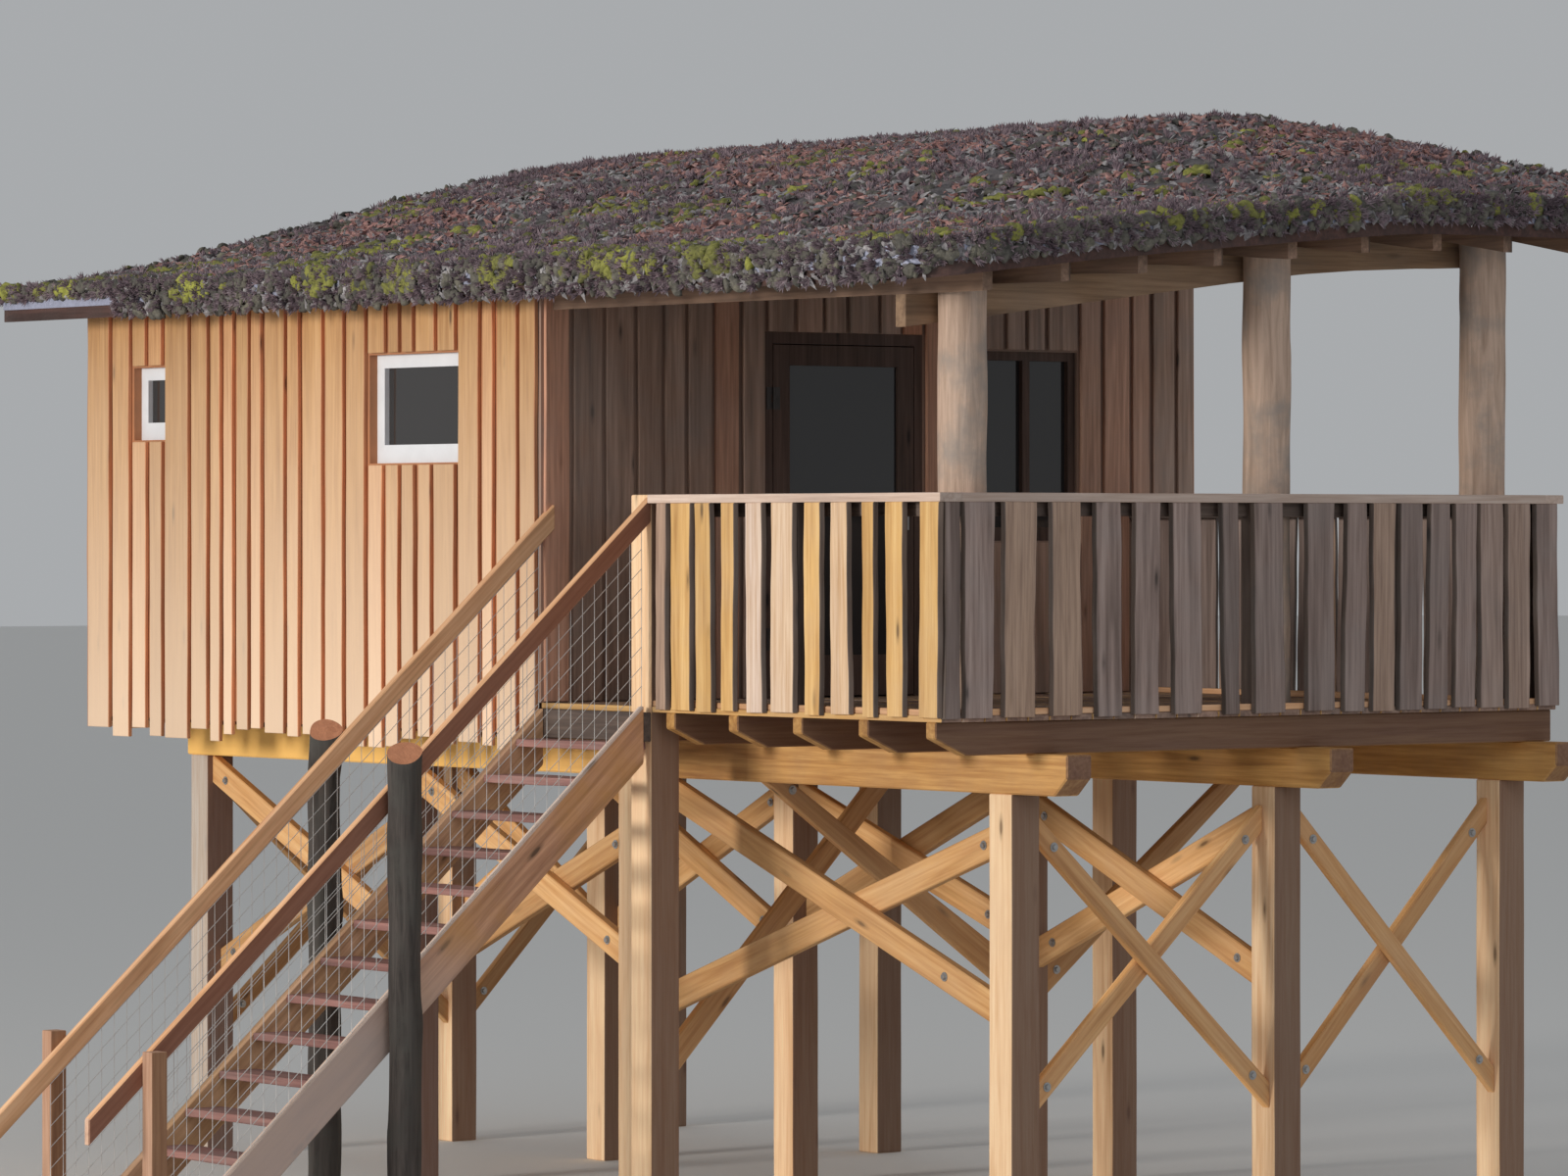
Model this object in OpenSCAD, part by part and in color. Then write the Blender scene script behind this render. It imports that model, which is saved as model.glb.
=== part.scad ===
// Tree house on posts: a boarded cabin, a railed deck and a straight stair.
// Millimetres, +Z up. The plan is drawn from the deck's corner and then moved,
// so that the origin lies under the middle of the whole, at ground level.

/* [Deck and cabin] */
// Height of the floor above the ground
floor_height = 2745; // [2600:5:2900]
// Deck size along the stair's direction
deck_across = 4100; // [3900:10:4300]
// Deck size from the front rail to the cabin
deck_along = 3390; // [3300:10:3500]
// Cabin size along the stair's direction
cabin_across = 4500; // [4400:10:4700]
// Cabin size away from the deck
cabin_along = 4570; // [4400:10:4700]
// Thickness of the cabin's walls
wall_thickness = 120; // [100:5:140]

/* [Roof] */
// Top of the planted roof at its low edge
roof_low = 5010; // [4950:5:5100]
// Rise of the curved roof from the low edge to the high edge
roof_rise = 985; // [900:5:1050]
// Height of the roof's top along the deck's front edge
roof_front = 5335; // [5300:5:5400]
// How far the roof stands out past the walls and the deck
roof_overhang = 350; // [300:10:400]

/* [Posts and beams] */
// Side of a square ground post
post_side = 180; // [160:5:200]
// Height of the main beams
beam_height = 205; // [180:5:220]
// Height of the floor joists
joist_height = 165; // [150:5:180]
// Width of a floor joist
joist_width = 80; // [60:5:90]

/* [Railing] */
// Height of the top rail above the floor
rail_height = 1090; // [1000:10:1150]
// Width of one upright railing slab
slab_width = 150; // [135:5:165]

/* [Stair] */
// Number of rises between the ground and the deck
risers = 15; // [14:1:16]
// Depth of one step, front to front
going = 203; // [195:1:215]
// Clear width between the strings
stair_width = 850; // [800:10:880]
// Depth of a string, square to its slope
string_depth = 220; // [200:5:235]

/* [Door and windows] */
// Width of the door leaf
door_width = 960; // [860:10:980]
// Height of the door leaf
door_height = 1900; // [1800:10:1950]
// Width of the wide window on the stair side
window_width = 870; // [820:10:900]
// Height of the wide window on the stair side
window_height = 590; // [560:10:620]

/* [Hidden] */

// levels
board = 30;
joist_top = floor_height - board;
beam_top = joist_top - joist_height;
post_top = beam_top - beam_height;
rail_top = floor_height + rail_height;

// plan of the posts
row_1 = 620;
row_2 = 2340;
row_3 = deck_across - post_side - 20;
bay_y = [220, deck_along - 10, deck_along + 2140, deck_along + cabin_along - 290];
inner_y = [220, deck_along - 1130, deck_along + 900, deck_along + 2710, deck_along + cabin_along - 290];
cabin_end = deck_along + cabin_along;

// stair
rise = floor_height / risers;
tread_count = risers - 1;
stair_y1 = deck_along - 90;
stair_y0 = stair_y1 - stair_width;
string_thickness = 50;
header_thickness = 45;
header_clearance = 3;
newel_y = stair_y0 - string_thickness;
slope_angle = atan2(rise, going);
stair_run = going * tread_count;
foot_x = -stair_run - 170;
newel_side = 90;
near_newel_x = -stair_run - 173;
far_newel_x = near_newel_x + 77;
near_rail_foot = near_newel_x - 345;
far_rail_foot = near_newel_x - 375;

// openings in the walls
wide_y = deck_along + 760;
wide_z = floor_height + 1272;
slit_y = cabin_end - 843;
slit_width = 350;
slit_z = floor_height + 1425;
slit_height = 415;
door_x = 1530;
door_frame_width = 60;
deck_window_x = 2950;
deck_window_width = 700;
deck_window_z = floor_height + 850;
deck_window_height = 1050;
frame_depth = 70;
glass = 12;

// roof
soil = 120;
roof_x0 = -roof_overhang;
roof_x1 = cabin_across + roof_overhang;
roof_y0 = -roof_overhang;
roof_y1 = cabin_end + 600;
corner = 380;
edge_board = 28;
rafter_depth = 120;
rafter_width = 60;
rafter_gap = (deck_across - 180) / 8;

trim = 6;
min_x = far_rail_foot;
max_x = roof_x1 + edge_board + trim;
min_y = roof_y0 - edge_board - trim;
max_y = roof_y1 + edge_board + trim;
shift_x = -(min_x + max_x) / 2;
shift_y = -(min_y + max_y) / 2;

module placed() {
  translate([shift_x, shift_y, 0]) children();
}

// block between two corners
module block(x0, x1, y0, y1, z0, z1) {
  translate([x0, y0, z0]) cube([x1 - x0, y1 - y0, z1 - z0]);
}

// prism from a profile drawn in the XZ plane, between two Y values
module along_y(y0, y1) {
  translate([0, y1, 0]) rotate([90, 0, 0]) linear_extrude(y1 - y0) children();
}

// prism from a profile drawn in the YZ plane, between two X values
module along_x(x0, x1) {
  translate([x0, 0, 0]) rotate([90, 0, 90]) linear_extrude(x1 - x0) children();
}

/* roof surface */
function smooth(u) = u * u * (3 - 2 * u);
function roof_curve(x) = roof_low + roof_rise * smooth((x + 900) / (cabin_across + 1300));
function eave_line(x) = roof_low + (roof_front - roof_low) * min(1, pow(max(0, (x + 400) / 3200), 0.8));
function fall_part(y) = y >= deck_along ? 0 : pow((deck_along - y) / (deck_along + roof_overhang), 1.15);
function roof_top(x, y) = roof_curve(x) + (min(roof_curve(x), eave_line(x)) - roof_curve(x)) * fall_part(y);

grid_x = concat(
  [-520, 0, wall_thickness],
  [for (i = [1 : 9]) wall_thickness + (cabin_across - 2 * wall_thickness) * i / 10],
  [cabin_across - wall_thickness, cabin_across, cabin_across + 520]);
grid_y = concat(
  [for (i = [0 : 7]) -520 + (deck_along + 520) * i / 8],
  [deck_along, roof_y1 + 200]);

// solid between two heights measured from the roof's top surface
module roof_band(low, high) {
  nx = len(grid_x);
  ny = len(grid_y);
  n = nx * ny;
  points = concat(
    [for (j = [0 : ny - 1]) for (i = [0 : nx - 1]) [grid_x[i], grid_y[j], roof_top(grid_x[i], grid_y[j]) + low]],
    [for (j = [0 : ny - 1]) for (i = [0 : nx - 1]) [grid_x[i], grid_y[j], roof_top(grid_x[i], grid_y[j]) + high]]);
  function at(i, j) = j * nx + i;
  bottom = [for (j = [0 : ny - 2]) for (i = [0 : nx - 2]) for (k = [0, 1])
    k == 0 ? [at(i, j), at(i + 1, j), at(i + 1, j + 1)] : [at(i, j), at(i + 1, j + 1), at(i, j + 1)]];
  top = [for (j = [0 : ny - 2]) for (i = [0 : nx - 2]) for (k = [0, 1])
    k == 0 ? [n + at(i, j), n + at(i + 1, j + 1), n + at(i + 1, j)] : [n + at(i, j), n + at(i, j + 1), n + at(i + 1, j + 1)]];
  front = [for (i = [0 : nx - 2]) [at(i, 0), n + at(i, 0), n + at(i + 1, 0), at(i + 1, 0)]];
  back = [for (i = [0 : nx - 2]) [at(i, ny - 1), at(i + 1, ny - 1), n + at(i + 1, ny - 1), n + at(i, ny - 1)]];
  left = [for (j = [0 : ny - 2]) [at(0, j), at(0, j + 1), n + at(0, j + 1), n + at(0, j)]];
  right = [for (j = [0 : ny - 2]) [at(nx - 1, j), n + at(nx - 1, j), n + at(nx - 1, j + 1), at(nx - 1, j + 1)]];
  polyhedron(points, concat(bottom, top, front, back, left, right), convexity = 4);
}

function arc(cx, cy, r, a0, a1) = [for (k = [0 : 8]) [cx + r * cos(a0 + (a1 - a0) * k / 8), cy + r * sin(a0 + (a1 - a0) * k / 8)]];

// plan of the roof, grown by d, with its front corners rounded
module roof_plan(d) {
  x0 = roof_x0 - d;
  x1 = roof_x1 + d;
  y0 = roof_y0 - d;
  y1 = roof_y1 + d;
  r = corner + d;
  polygon(concat(
    arc(x0 + r, y0 + r, r, 180, 270),
    arc(x1 - r, y0 + r, r, 270, 360),
    [[x1, y1]],
    arc(x0 + r, y1 - r, r, 90, 180)));
}

module roof_slice(low, high, d) {
  intersection() {
    roof_band(low, high);
    translate([0, 0, 3000]) linear_extrude(5000) roof_plan(d);
  }
}

module roof_ring(low, high, inner, outer) {
  intersection() {
    roof_band(low, high);
    translate([0, 0, 3000]) linear_extrude(5000) difference() {
      roof_plan(outer);
      roof_plan(inner);
    }
  }
}

boards_low = -soil - board;

// height of the underside of the roof boards on the cabin
seat = 0.1;
function under(x) = lookup(x, [for (g = grid_x) [g, roof_curve(g) + boards_low]]) - seat;
function wall_grid(x0, x1) = concat([x0], [for (g = grid_x) if (g > x0 + 0.5 && g < x1 - 0.5) g], [x1]);

/* posts, beams and braces */
module post_row(x, ys) {
  for (y = ys) block(x, x + post_side, y, y + post_side, 0, post_top);
}

module front_posts() {
  color("BurlyWood") post_row(row_1, bay_y);
}

module middle_posts() {
  color("BurlyWood") post_row(row_2, inner_y);
}

module back_posts() {
  color("BurlyWood") post_row(row_3, bay_y);
}

module main_beam(x) {
  along_x(x, x + post_side - 20) polygon([
    [-210, beam_top], [cabin_end - 70, beam_top], [cabin_end - 70, post_top],
    [-110, post_top], [-210, post_top + 90]]);
}

module front_beam() {
  color("Peru") main_beam(row_1);
}

module middle_beam() {
  color("Peru") main_beam(row_2);
}

module back_beam() {
  color("Peru") main_beam(row_3);
}

brace_depth = 135;
long_brace_depth = 160;
brace_thickness = 55;
// crossed bars lie a hair apart, so that each stays a solid of its own
lap_gap = 0.2;
brace_set = post_side / 2 - brace_thickness;
brace_high = 0.96 * post_top;
side_brace_low = 0.3 * post_top;

// each bay's crossed bars, as shares of the post's height: foot and head of the bar
// that rises with Y, then foot and head of the bar that falls with Y
front_shares = [[0.508, 1.04, 0.443, 0.943], [0.56, 1, 0.48, 0.9], [0.56, 1, 0.45, 0.9]];
plain_bay = [0.56, 0.97, 0.56, 0.97];
middle_shares = [plain_bay, [0.62, 0.963, 0.612, 1.02], plain_bay, plain_bay];

// bar that rises from the upright line u0 to the upright line u1
module up_bar(u0, u1, z0, z1) {
  polygon([[u0, z0], [u1, z1 - brace_depth], [u1, z1], [u0, z0 + brace_depth]]);
}

// bar that falls from u0 to u1, and lies behind the rising one
module down_bar(u0, u1, z0, z1) {
  polygon([[u0, z1 - brace_depth], [u1, z0], [u1, z0 + brace_depth], [u0, z1]]);
}

// bar between two heights, cut off where it meets the beam
module long_bar(u0, u1, z0, z1) {
  intersection() {
    polygon([[u0, z0], [u1, z1], [u1, z1 + long_brace_depth], [u0, z0 + long_brace_depth]]);
    translate([u0, 0]) square([u1 - u0, post_top]);
  }
}

module long_braces(x, ys, shares) {
  front = x + brace_set;
  middle = front + brace_thickness;
  for (k = [0 : len(ys) - 2]) {
    y0 = ys[k] + post_side;
    y1 = ys[k + 1];
    s = shares[k] * post_top;
    along_x(front, middle) long_bar(y0, y1, s[0], s[1] - long_brace_depth);
    along_x(middle + lap_gap, middle + brace_thickness) long_bar(y0, y1, s[3] - long_brace_depth, s[2]);
  }
}

module front_braces() {
  color("SandyBrown") long_braces(row_1, bay_y, front_shares);
}

module middle_braces() {
  color("SandyBrown") long_braces(row_2, inner_y, middle_shares);
}

// one sloping bar from a post's face at (u0, z0) up to the underside of a beam at u1
module rising_bar(u0, z0, u1) {
  side = u1 > u0 ? 1 : -1;
  polygon([[u0, z0], [u1 + side * 40, post_top], [u1 - side * 120, post_top], [u0, z0 + 190]]);
}

module brace_at(y) {
  along_y(y + brace_set, y + brace_set + brace_thickness) children();
}

module side_braces() {
  color("SandyBrown") {
    for (y = [bay_y[0], bay_y[3]]) {
      for (bay = [[row_1 + post_side, row_2], [row_2 + post_side, row_3]]) {
        brace_at(y) down_bar(bay[0], bay[1], side_brace_low, brace_high);
        brace_at(y + brace_thickness + lap_gap) up_bar(bay[0], bay[1], side_brace_low, brace_high);
      }
    }
    brace_at(bay_y[1]) rising_bar(row_1 + post_side, 0.273 * post_top, row_2 + 60);
    brace_at(inner_y[1]) rising_bar(row_2, 0.49 * post_top, row_1 + 80);
    brace_at(inner_y[1]) rising_bar(row_2 + post_side, 0.49 * post_top, row_3 + 80);
  }
}

/* floors */
module joist(y, x1) {
  along_y(y, y + joist_width) polygon([
    [0, joist_top], [x1, joist_top], [x1, beam_top], [190, beam_top], [0, beam_top + 85]]);
}

module deck_joists() {
  color("Peru") for (k = [0 : 6]) joist(40 + k * (deck_along - 160) / 6, deck_across);
}

module joist_inside(y) {
  block(cladding, cabin_across - cladding, y, y + joist_width, beam_top, joist_top);
}

module cabin_joists() {
  color("Peru") for (k = [0 : 8])
    joist_inside(deck_along + 30 + k * (cabin_along - 60 - joist_width - 30) / 8);
}

module deck_floor() {
  color("Tan") difference() {
    block(0, deck_across, 0, deck_along, joist_top, floor_height);
    block(-10, post_side, newel_y, newel_y + post_side, joist_top - 10, floor_height + 10);
  }
}

cladding = 25;

module cabin_floor() {
  color("Tan") block(cladding, cabin_across - cladding, deck_along, cabin_end - cladding, joist_top, floor_height);
}

/* walls */
lip = beam_top + 30;

module stair_side_wall() {
  color("Wheat") difference() {
    along_y(deck_along + wall_thickness, cabin_end - wall_thickness) polygon([
      [0, lip], [cladding, lip], [cladding, floor_height], [wall_thickness, floor_height],
      [wall_thickness, under(wall_thickness)], [0, under(0)]]);
    block(-10, wall_thickness + 10, wide_y, wide_y + window_width, wide_z, wide_z + window_height);
    block(-10, wall_thickness + 10, slit_y, slit_y + slit_width, slit_z, slit_z + slit_height);
  }
}

module far_side_wall() {
  color("Wheat") along_y(deck_along + wall_thickness, cabin_end - wall_thickness) polygon([
    [cabin_across - wall_thickness, floor_height], [cabin_across - cladding, floor_height],
    [cabin_across - cladding, lip], [cabin_across, lip],
    [cabin_across, under(cabin_across)], [cabin_across - wall_thickness, under(cabin_across - wall_thickness)]]);
}

module deck_wall_piece(x0, x1, z0) {
  along_y(deck_along, deck_along + wall_thickness) polygon(concat(
    [[x1, z0], [x0, z0]],
    [for (x = wall_grid(x0, x1)) [x, under(x)]]));
}

module deck_wall_left() {
  color("Sienna") deck_wall_piece(0, door_x - door_frame_width, floor_height);
}

module deck_wall_right() {
  color("Sienna") difference() {
    deck_wall_piece(door_x + door_width + door_frame_width, cabin_across, floor_height);
    block(deck_window_x, deck_window_x + deck_window_width, deck_along - 10, deck_along + wall_thickness + 10,
      deck_window_z, deck_window_z + deck_window_height);
  }
}

module deck_wall_head() {
  color("Sienna") deck_wall_piece(door_x - door_frame_width, door_x + door_width + door_frame_width,
    floor_height + door_height + 20 + door_frame_width);
}

module back_wall() {
  color("Wheat") {
    along_y(cabin_end - wall_thickness, cabin_end - cladding) polygon(concat(
      [[cabin_across - cladding, floor_height], [cladding, floor_height]],
      [for (x = wall_grid(cladding, cabin_across - cladding)) [x, under(x)]]));
    along_y(cabin_end - cladding, cabin_end) polygon(concat(
      [[cabin_across, lip], [0, lip]],
      [for (x = wall_grid(0, cabin_across)) [x, under(x)]]));
    along_y(cabin_end - wall_thickness, cabin_end - cladding) polygon([
      [0, lip], [cladding, lip], [cladding, under(cladding)], [0, under(0)]]);
    along_y(cabin_end - wall_thickness, cabin_end - cladding) polygon([
      [cabin_across - cladding, lip], [cabin_across, lip],
      [cabin_across, under(cabin_across)], [cabin_across - cladding, under(cabin_across - cladding)]]);
  }
}

/* windows and door */
frame_bar = 50;
sill_bar = 75;
side_bar = 72;
side_sill = 100;

// frame in a wall that runs along Y, its face set back from the wall's face
module side_frame(y0, w, z0, h) {
  difference() {
    block(wall_thickness - frame_depth, wall_thickness, y0, y0 + w, z0, z0 + h);
    block(0, wall_thickness + 10, y0 + side_bar, y0 + w - side_bar, z0 + side_sill, z0 + h - side_bar);
  }
}

module side_glass(y0, w, z0, h) {
  block(wall_thickness - 40, wall_thickness - 40 + glass,
    y0 + side_bar, y0 + w - side_bar, z0 + side_sill, z0 + h - side_bar);
}

module wide_window_frame() {
  color("White") side_frame(wide_y, window_width, wide_z, window_height);
}

module wide_window_glass() {
  color("DimGray") side_glass(wide_y, window_width, wide_z, window_height);
}

module slit_window_frame() {
  color("White") side_frame(slit_y, slit_width, slit_z, slit_height);
}

module slit_window_glass() {
  color("DimGray") side_glass(slit_y, slit_width, slit_z, slit_height);
}

module deck_window_frame() {
  color("SaddleBrown") difference() {
    block(deck_window_x, deck_window_x + deck_window_width, deck_along + 20, deck_along + 20 + frame_depth,
      deck_window_z, deck_window_z + deck_window_height);
    for (k = [0, 1])
      block(deck_window_x + frame_bar + k * (deck_window_width - frame_bar) / 2,
        deck_window_x + deck_window_width / 2 - frame_bar / 2 + k * (deck_window_width - frame_bar) / 2,
        deck_along, deck_along + 110, deck_window_z + sill_bar, deck_window_z + deck_window_height - frame_bar);
  }
}

module deck_window_glass() {
  color("DimGray") for (k = [0, 1])
    block(deck_window_x + frame_bar + k * (deck_window_width - frame_bar) / 2,
      deck_window_x + deck_window_width / 2 - frame_bar / 2 + k * (deck_window_width - frame_bar) / 2,
      deck_along + 50, deck_along + 50 + glass, deck_window_z + sill_bar,
      deck_window_z + deck_window_height - frame_bar);
}

door_gap = 6;
door_foot = floor_height + 10;
door_top = door_foot + door_height;
leaf_thickness = 44;
leaf_y = deck_along;

module door_frame() {
  color("SaddleBrown") {
    x0 = door_x - door_frame_width;
    x1 = door_x + door_width + door_frame_width;
    difference() {
      block(x0, x1, deck_along, deck_along + wall_thickness, floor_height,
        floor_height + door_height + 20 + door_frame_width);
      block(door_x - door_gap, door_x + door_width + door_gap, deck_along - 10, deck_along + wall_thickness + 10,
        floor_height - 10, door_top + door_gap);
    }
  }
}

stile = 110;

module door_leaf() {
  color("SaddleBrown") difference() {
    block(door_x, door_x + door_width, leaf_y, leaf_y + leaf_thickness, door_foot, door_top);
    block(door_x + stile, door_x + door_width - stile, leaf_y - 10, leaf_y + leaf_thickness + 10,
      door_foot + 220, door_top - stile);
  }
}

module door_glass() {
  color("DimGray") block(door_x + stile, door_x + door_width - stile, leaf_y + 16, leaf_y + 16 + glass,
    door_foot + 220, door_top - stile);
}

module door_handle() {
  color("Silver") {
    hx = door_x + door_width - 55;
    hz = floor_height + 1000;
    translate([hx, leaf_y, hz]) rotate([90, 0, 0]) cylinder(r = 10, h = 46, $fn = 24);
    block(hx - 120, hx + 10, leaf_y - 56, leaf_y - 40, hz - 10, hz + 10);
    block(hx - 20, hx + 20, leaf_y - 6, leaf_y, hz - 90, hz + 60);
  }
}

hinge_x = door_x - door_gap / 2;
hinge_y = deck_along - 9;
hinge_z = [door_foot + 250, door_foot + door_height - 350];
hinge_height = 120;
knuckle = 8;
pin = 4;

// frame half of each hinge, with its pin
module hinge_pins() {
  color("Gray") for (z = hinge_z) {
    translate([hinge_x, hinge_y, z]) cylinder(r = pin, h = hinge_height, $fn = 32);
    for (part = [0, 2]) {
      translate([hinge_x, hinge_y, z + part * hinge_height / 3]) cylinder(r = knuckle, h = hinge_height / 3, $fn = 32);
      block(hinge_x - 45, hinge_x - 2, deck_along - 4, deck_along, z + part * hinge_height / 3,
        z + (part + 1) * hinge_height / 3);
    }
    block(hinge_x - 45, hinge_x - 15, deck_along - 4, deck_along, z, z + hinge_height);
  }
}

// leaf half of each hinge, with a bore that runs on the pin
module hinge_straps() {
  color("Gray") for (z = hinge_z) {
    difference() {
      union() {
        translate([hinge_x, hinge_y, z + hinge_height / 3 + 1]) cylinder(r = knuckle, h = hinge_height / 3 - 2, $fn = 32);
        block(hinge_x + 2, hinge_x + 45, leaf_y - 4, leaf_y, z + hinge_height / 3 + 1, z + 2 * hinge_height / 3 - 1);
      }
      translate([hinge_x, hinge_y, z]) cylinder(r = pin + 0.08, h = hinge_height, $fn = 32);
    }
    block(hinge_x + 15, hinge_x + 45, leaf_y - 4, leaf_y, z, z + hinge_height);
  }
}

/* roof */
module roof_boards() {
  color("Peru") roof_slice(boards_low, -soil, 0);
}

module roof_rafters() {
  color("Peru") intersection() {
    roof_band(boards_low - rafter_depth, boards_low);
    union() {
      for (k = [0 : 8])
        block(60 + k * rafter_gap, 60 + rafter_width + k * rafter_gap, -250, deck_along, 3000, 7000);
    }
  }
}

module green_roof() {
  color("OliveDrab") roof_slice(-soil, 0, 0);
}

module roof_fascia() {
  color("Tan") roof_ring(boards_low - 25, -15, 0, edge_board);
}

module roof_edge_strip() {
  color("LightSteelBlue") roof_ring(-70, 0, edge_board, edge_board + trim);
}

log_radius = 125;
log_y = 100 + log_radius + 3;
roof_log_x = [315, 90 + 4.5 * rafter_gap, deck_across - 315];

module roof_posts() {
  color("Wheat") intersection() {
    union() {
      for (x = roof_log_x)
        translate([x, log_y, floor_height]) cylinder(r = log_radius, h = 4000, $fn = 24);
    }
    roof_band(-3500, boards_low);
  }
}

module roof_front_beam() {
  color("Peru") intersection() {
    block(60, deck_across - 60, log_y + log_radius, log_y + log_radius + 80, 3000, 7000);
    roof_band(boards_low - rafter_depth - 160, boards_low - rafter_depth);
  }
}

/* railings */
rail_thickness = 45;
slab_thickness = 26;
slab_foot = joist_top + 5;

module slab_set_y(y0, y1, count) {
  for (k = [0 : count - 1])
    block(-slab_thickness, 0, y0 + k * (y1 - y0) / count, y0 + k * (y1 - y0) / count + slab_width,
      slab_foot, rail_top - rail_thickness);
}

module rail_post(x, y) {
  block(x, x + 100, y, y + 100, floor_height, rail_top - rail_thickness);
}

module left_railing() {
  color("Khaki") {
    block(-slab_thickness, 120, -slab_thickness, newel_y, rail_top - rail_thickness, rail_top);
    slab_set_y(0, newel_y, 11);
    block(0, 60, 0, newel_y, rail_top - rail_thickness - 90, rail_top - rail_thickness);
    block(0, 60, 0, newel_y, floor_height, floor_height + 90);
  }
}

module right_railing() {
  color("RosyBrown") {
    block(120, deck_across, -slab_thickness, 100, rail_top - rail_thickness, rail_top);
    for (k = [0 : 23])
      block(130 + k * (deck_across - 130) / 24, 130 + k * (deck_across - 130) / 24 + 125, -slab_thickness, 0,
        slab_foot, rail_top - rail_thickness);
    block(120, deck_across, 0, 60, rail_top - rail_thickness - 90, rail_top - rail_thickness);
    block(120, deck_across, 0, 60, floor_height, floor_height + 90);
  }
}

module end_railing() {
  color("RosyBrown") {
    block(deck_across - 100, deck_across + slab_thickness, 100, deck_along, rail_top - rail_thickness, rail_top);
    for (k = [0 : 19])
      block(deck_across, deck_across + slab_thickness, 110 + k * (deck_along - 110) / 20,
        110 + k * (deck_along - 110) / 20 + 125, slab_foot, rail_top - rail_thickness);
    block(deck_across - 60, deck_across, 100, deck_along, rail_top - rail_thickness - 90, rail_top - rail_thickness);
    block(deck_across - 60, deck_across, 100, deck_along, floor_height, floor_height + 90);
  }
}

module deck_newel_post() {
  color("BurlyWood") block(0, post_side, newel_y, newel_y + post_side, 0, rail_top);
}

/* stair */
// height of the nosing line at x
function nosing(x) = floor_height + x * rise / going;
plumb = string_depth / cos(slope_angle);
near_string_top = 45;
far_string_top = 15;

module stair_header() {
  color("Peru") block(-header_thickness, 0, newel_y, stair_y1 + string_thickness,
    floor_height - rise + header_clearance, joist_top);
}

module string_profile(top) {
  x0 = -header_thickness;
  polygon([
    [x0, nosing(x0) + top], [x0, nosing(x0) + top - plumb],
    [-(floor_height + top - plumb) * going / rise, 0],
    [foot_x, 0], [foot_x, nosing(foot_x) + top]]);
}

module near_string() {
  color("Peru") along_y(newel_y, stair_y0) string_profile(near_string_top);
}

module far_string() {
  color("Peru") along_y(stair_y1, stair_y1 + string_thickness) string_profile(far_string_top);
}

nose = 22;

module treads() {
  color("RosyBrown") for (k = [1 : tread_count])
    block(-k * going - nose, -k * going + going, stair_y0, stair_y1,
      floor_height - k * rise - 40, floor_height - k * rise);
}

near_rise = 1080;
far_rise = 990;
hand_depth = 130;
hand_thickness = 45;

// handrail between two X values, its top at a height over the nosing line
module rail_profile(x0, x1, high) {
  polygon([
    [x0, nosing(x0) + high - hand_depth], [x1, nosing(x1) + high - hand_depth],
    [x1, nosing(x1) + high], [x0, nosing(x0) + high]]);
}

module near_handrail() {
  color("Peru") along_y(newel_y, newel_y + hand_thickness) rail_profile(near_rail_foot, 0, near_rise);
}

// the far handrail runs on past the cabin's corner and is fixed to the wall's face
module far_handrail() {
  color("Peru") along_y(deck_along - hand_thickness, deck_along) rail_profile(far_rail_foot, 60, far_rise);
}

module stair_newels() {
  color("Tan") {
    block(near_newel_x - newel_side / 2, near_newel_x + newel_side / 2, newel_y - newel_side, newel_y, 0, 1112);
    block(far_newel_x - newel_side / 2, far_newel_x + newel_side / 2, deck_along, deck_along + newel_side, 0, 1150);
  }
}

near_log_x = -1583;
far_log_x = -1300;
bark_radius = 88;

module stair_log_posts() {
  color("DimGray") {
    translate([near_log_x, newel_y - bark_radius, 0])
      cylinder(r = bark_radius, h = nosing(near_log_x) + near_rise + 140, $fn = 24);
    translate([far_log_x, deck_along + bark_radius, 0])
      cylinder(r = bark_radius, h = nosing(far_log_x) + far_rise + 60, $fn = 24);
  }
}

wire = 8;
mesh = 120;

// strip that follows the stair's slope, from one height over the nosing line to another
module slope_strip(low, high) {
  polygon([
    [foot_x, nosing(foot_x) + low], [-header_thickness, nosing(-header_thickness) + low],
    [-header_thickness, nosing(-header_thickness) + high], [foot_x, nosing(foot_x) + high]]);
}

module net_profile(net_low, net_high) {
  intersection() {
    slope_strip(net_low, net_high);
    union() {
      for (turn = [slope_angle + 45, slope_angle - 45])
        for (k = [-20 : 20])
          translate([foot_x / 2, nosing(foot_x / 2) + 490]) rotate([0, 0, turn])
            translate([-3000, k * mesh]) square([6000, wire]);
    }
  }
  slope_strip(net_low, net_low + 12);
  slope_strip(net_high - 12, net_high);
}

module near_netting() {
  color("Silver") along_y(newel_y + 20, newel_y + 28) net_profile(near_string_top, near_rise - hand_depth);
}

module far_netting() {
  color("Silver") along_y(deck_along - hand_thickness - 2, deck_along - hand_thickness + 6)
    net_profile(far_string_top, far_rise - hand_depth);
}

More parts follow.
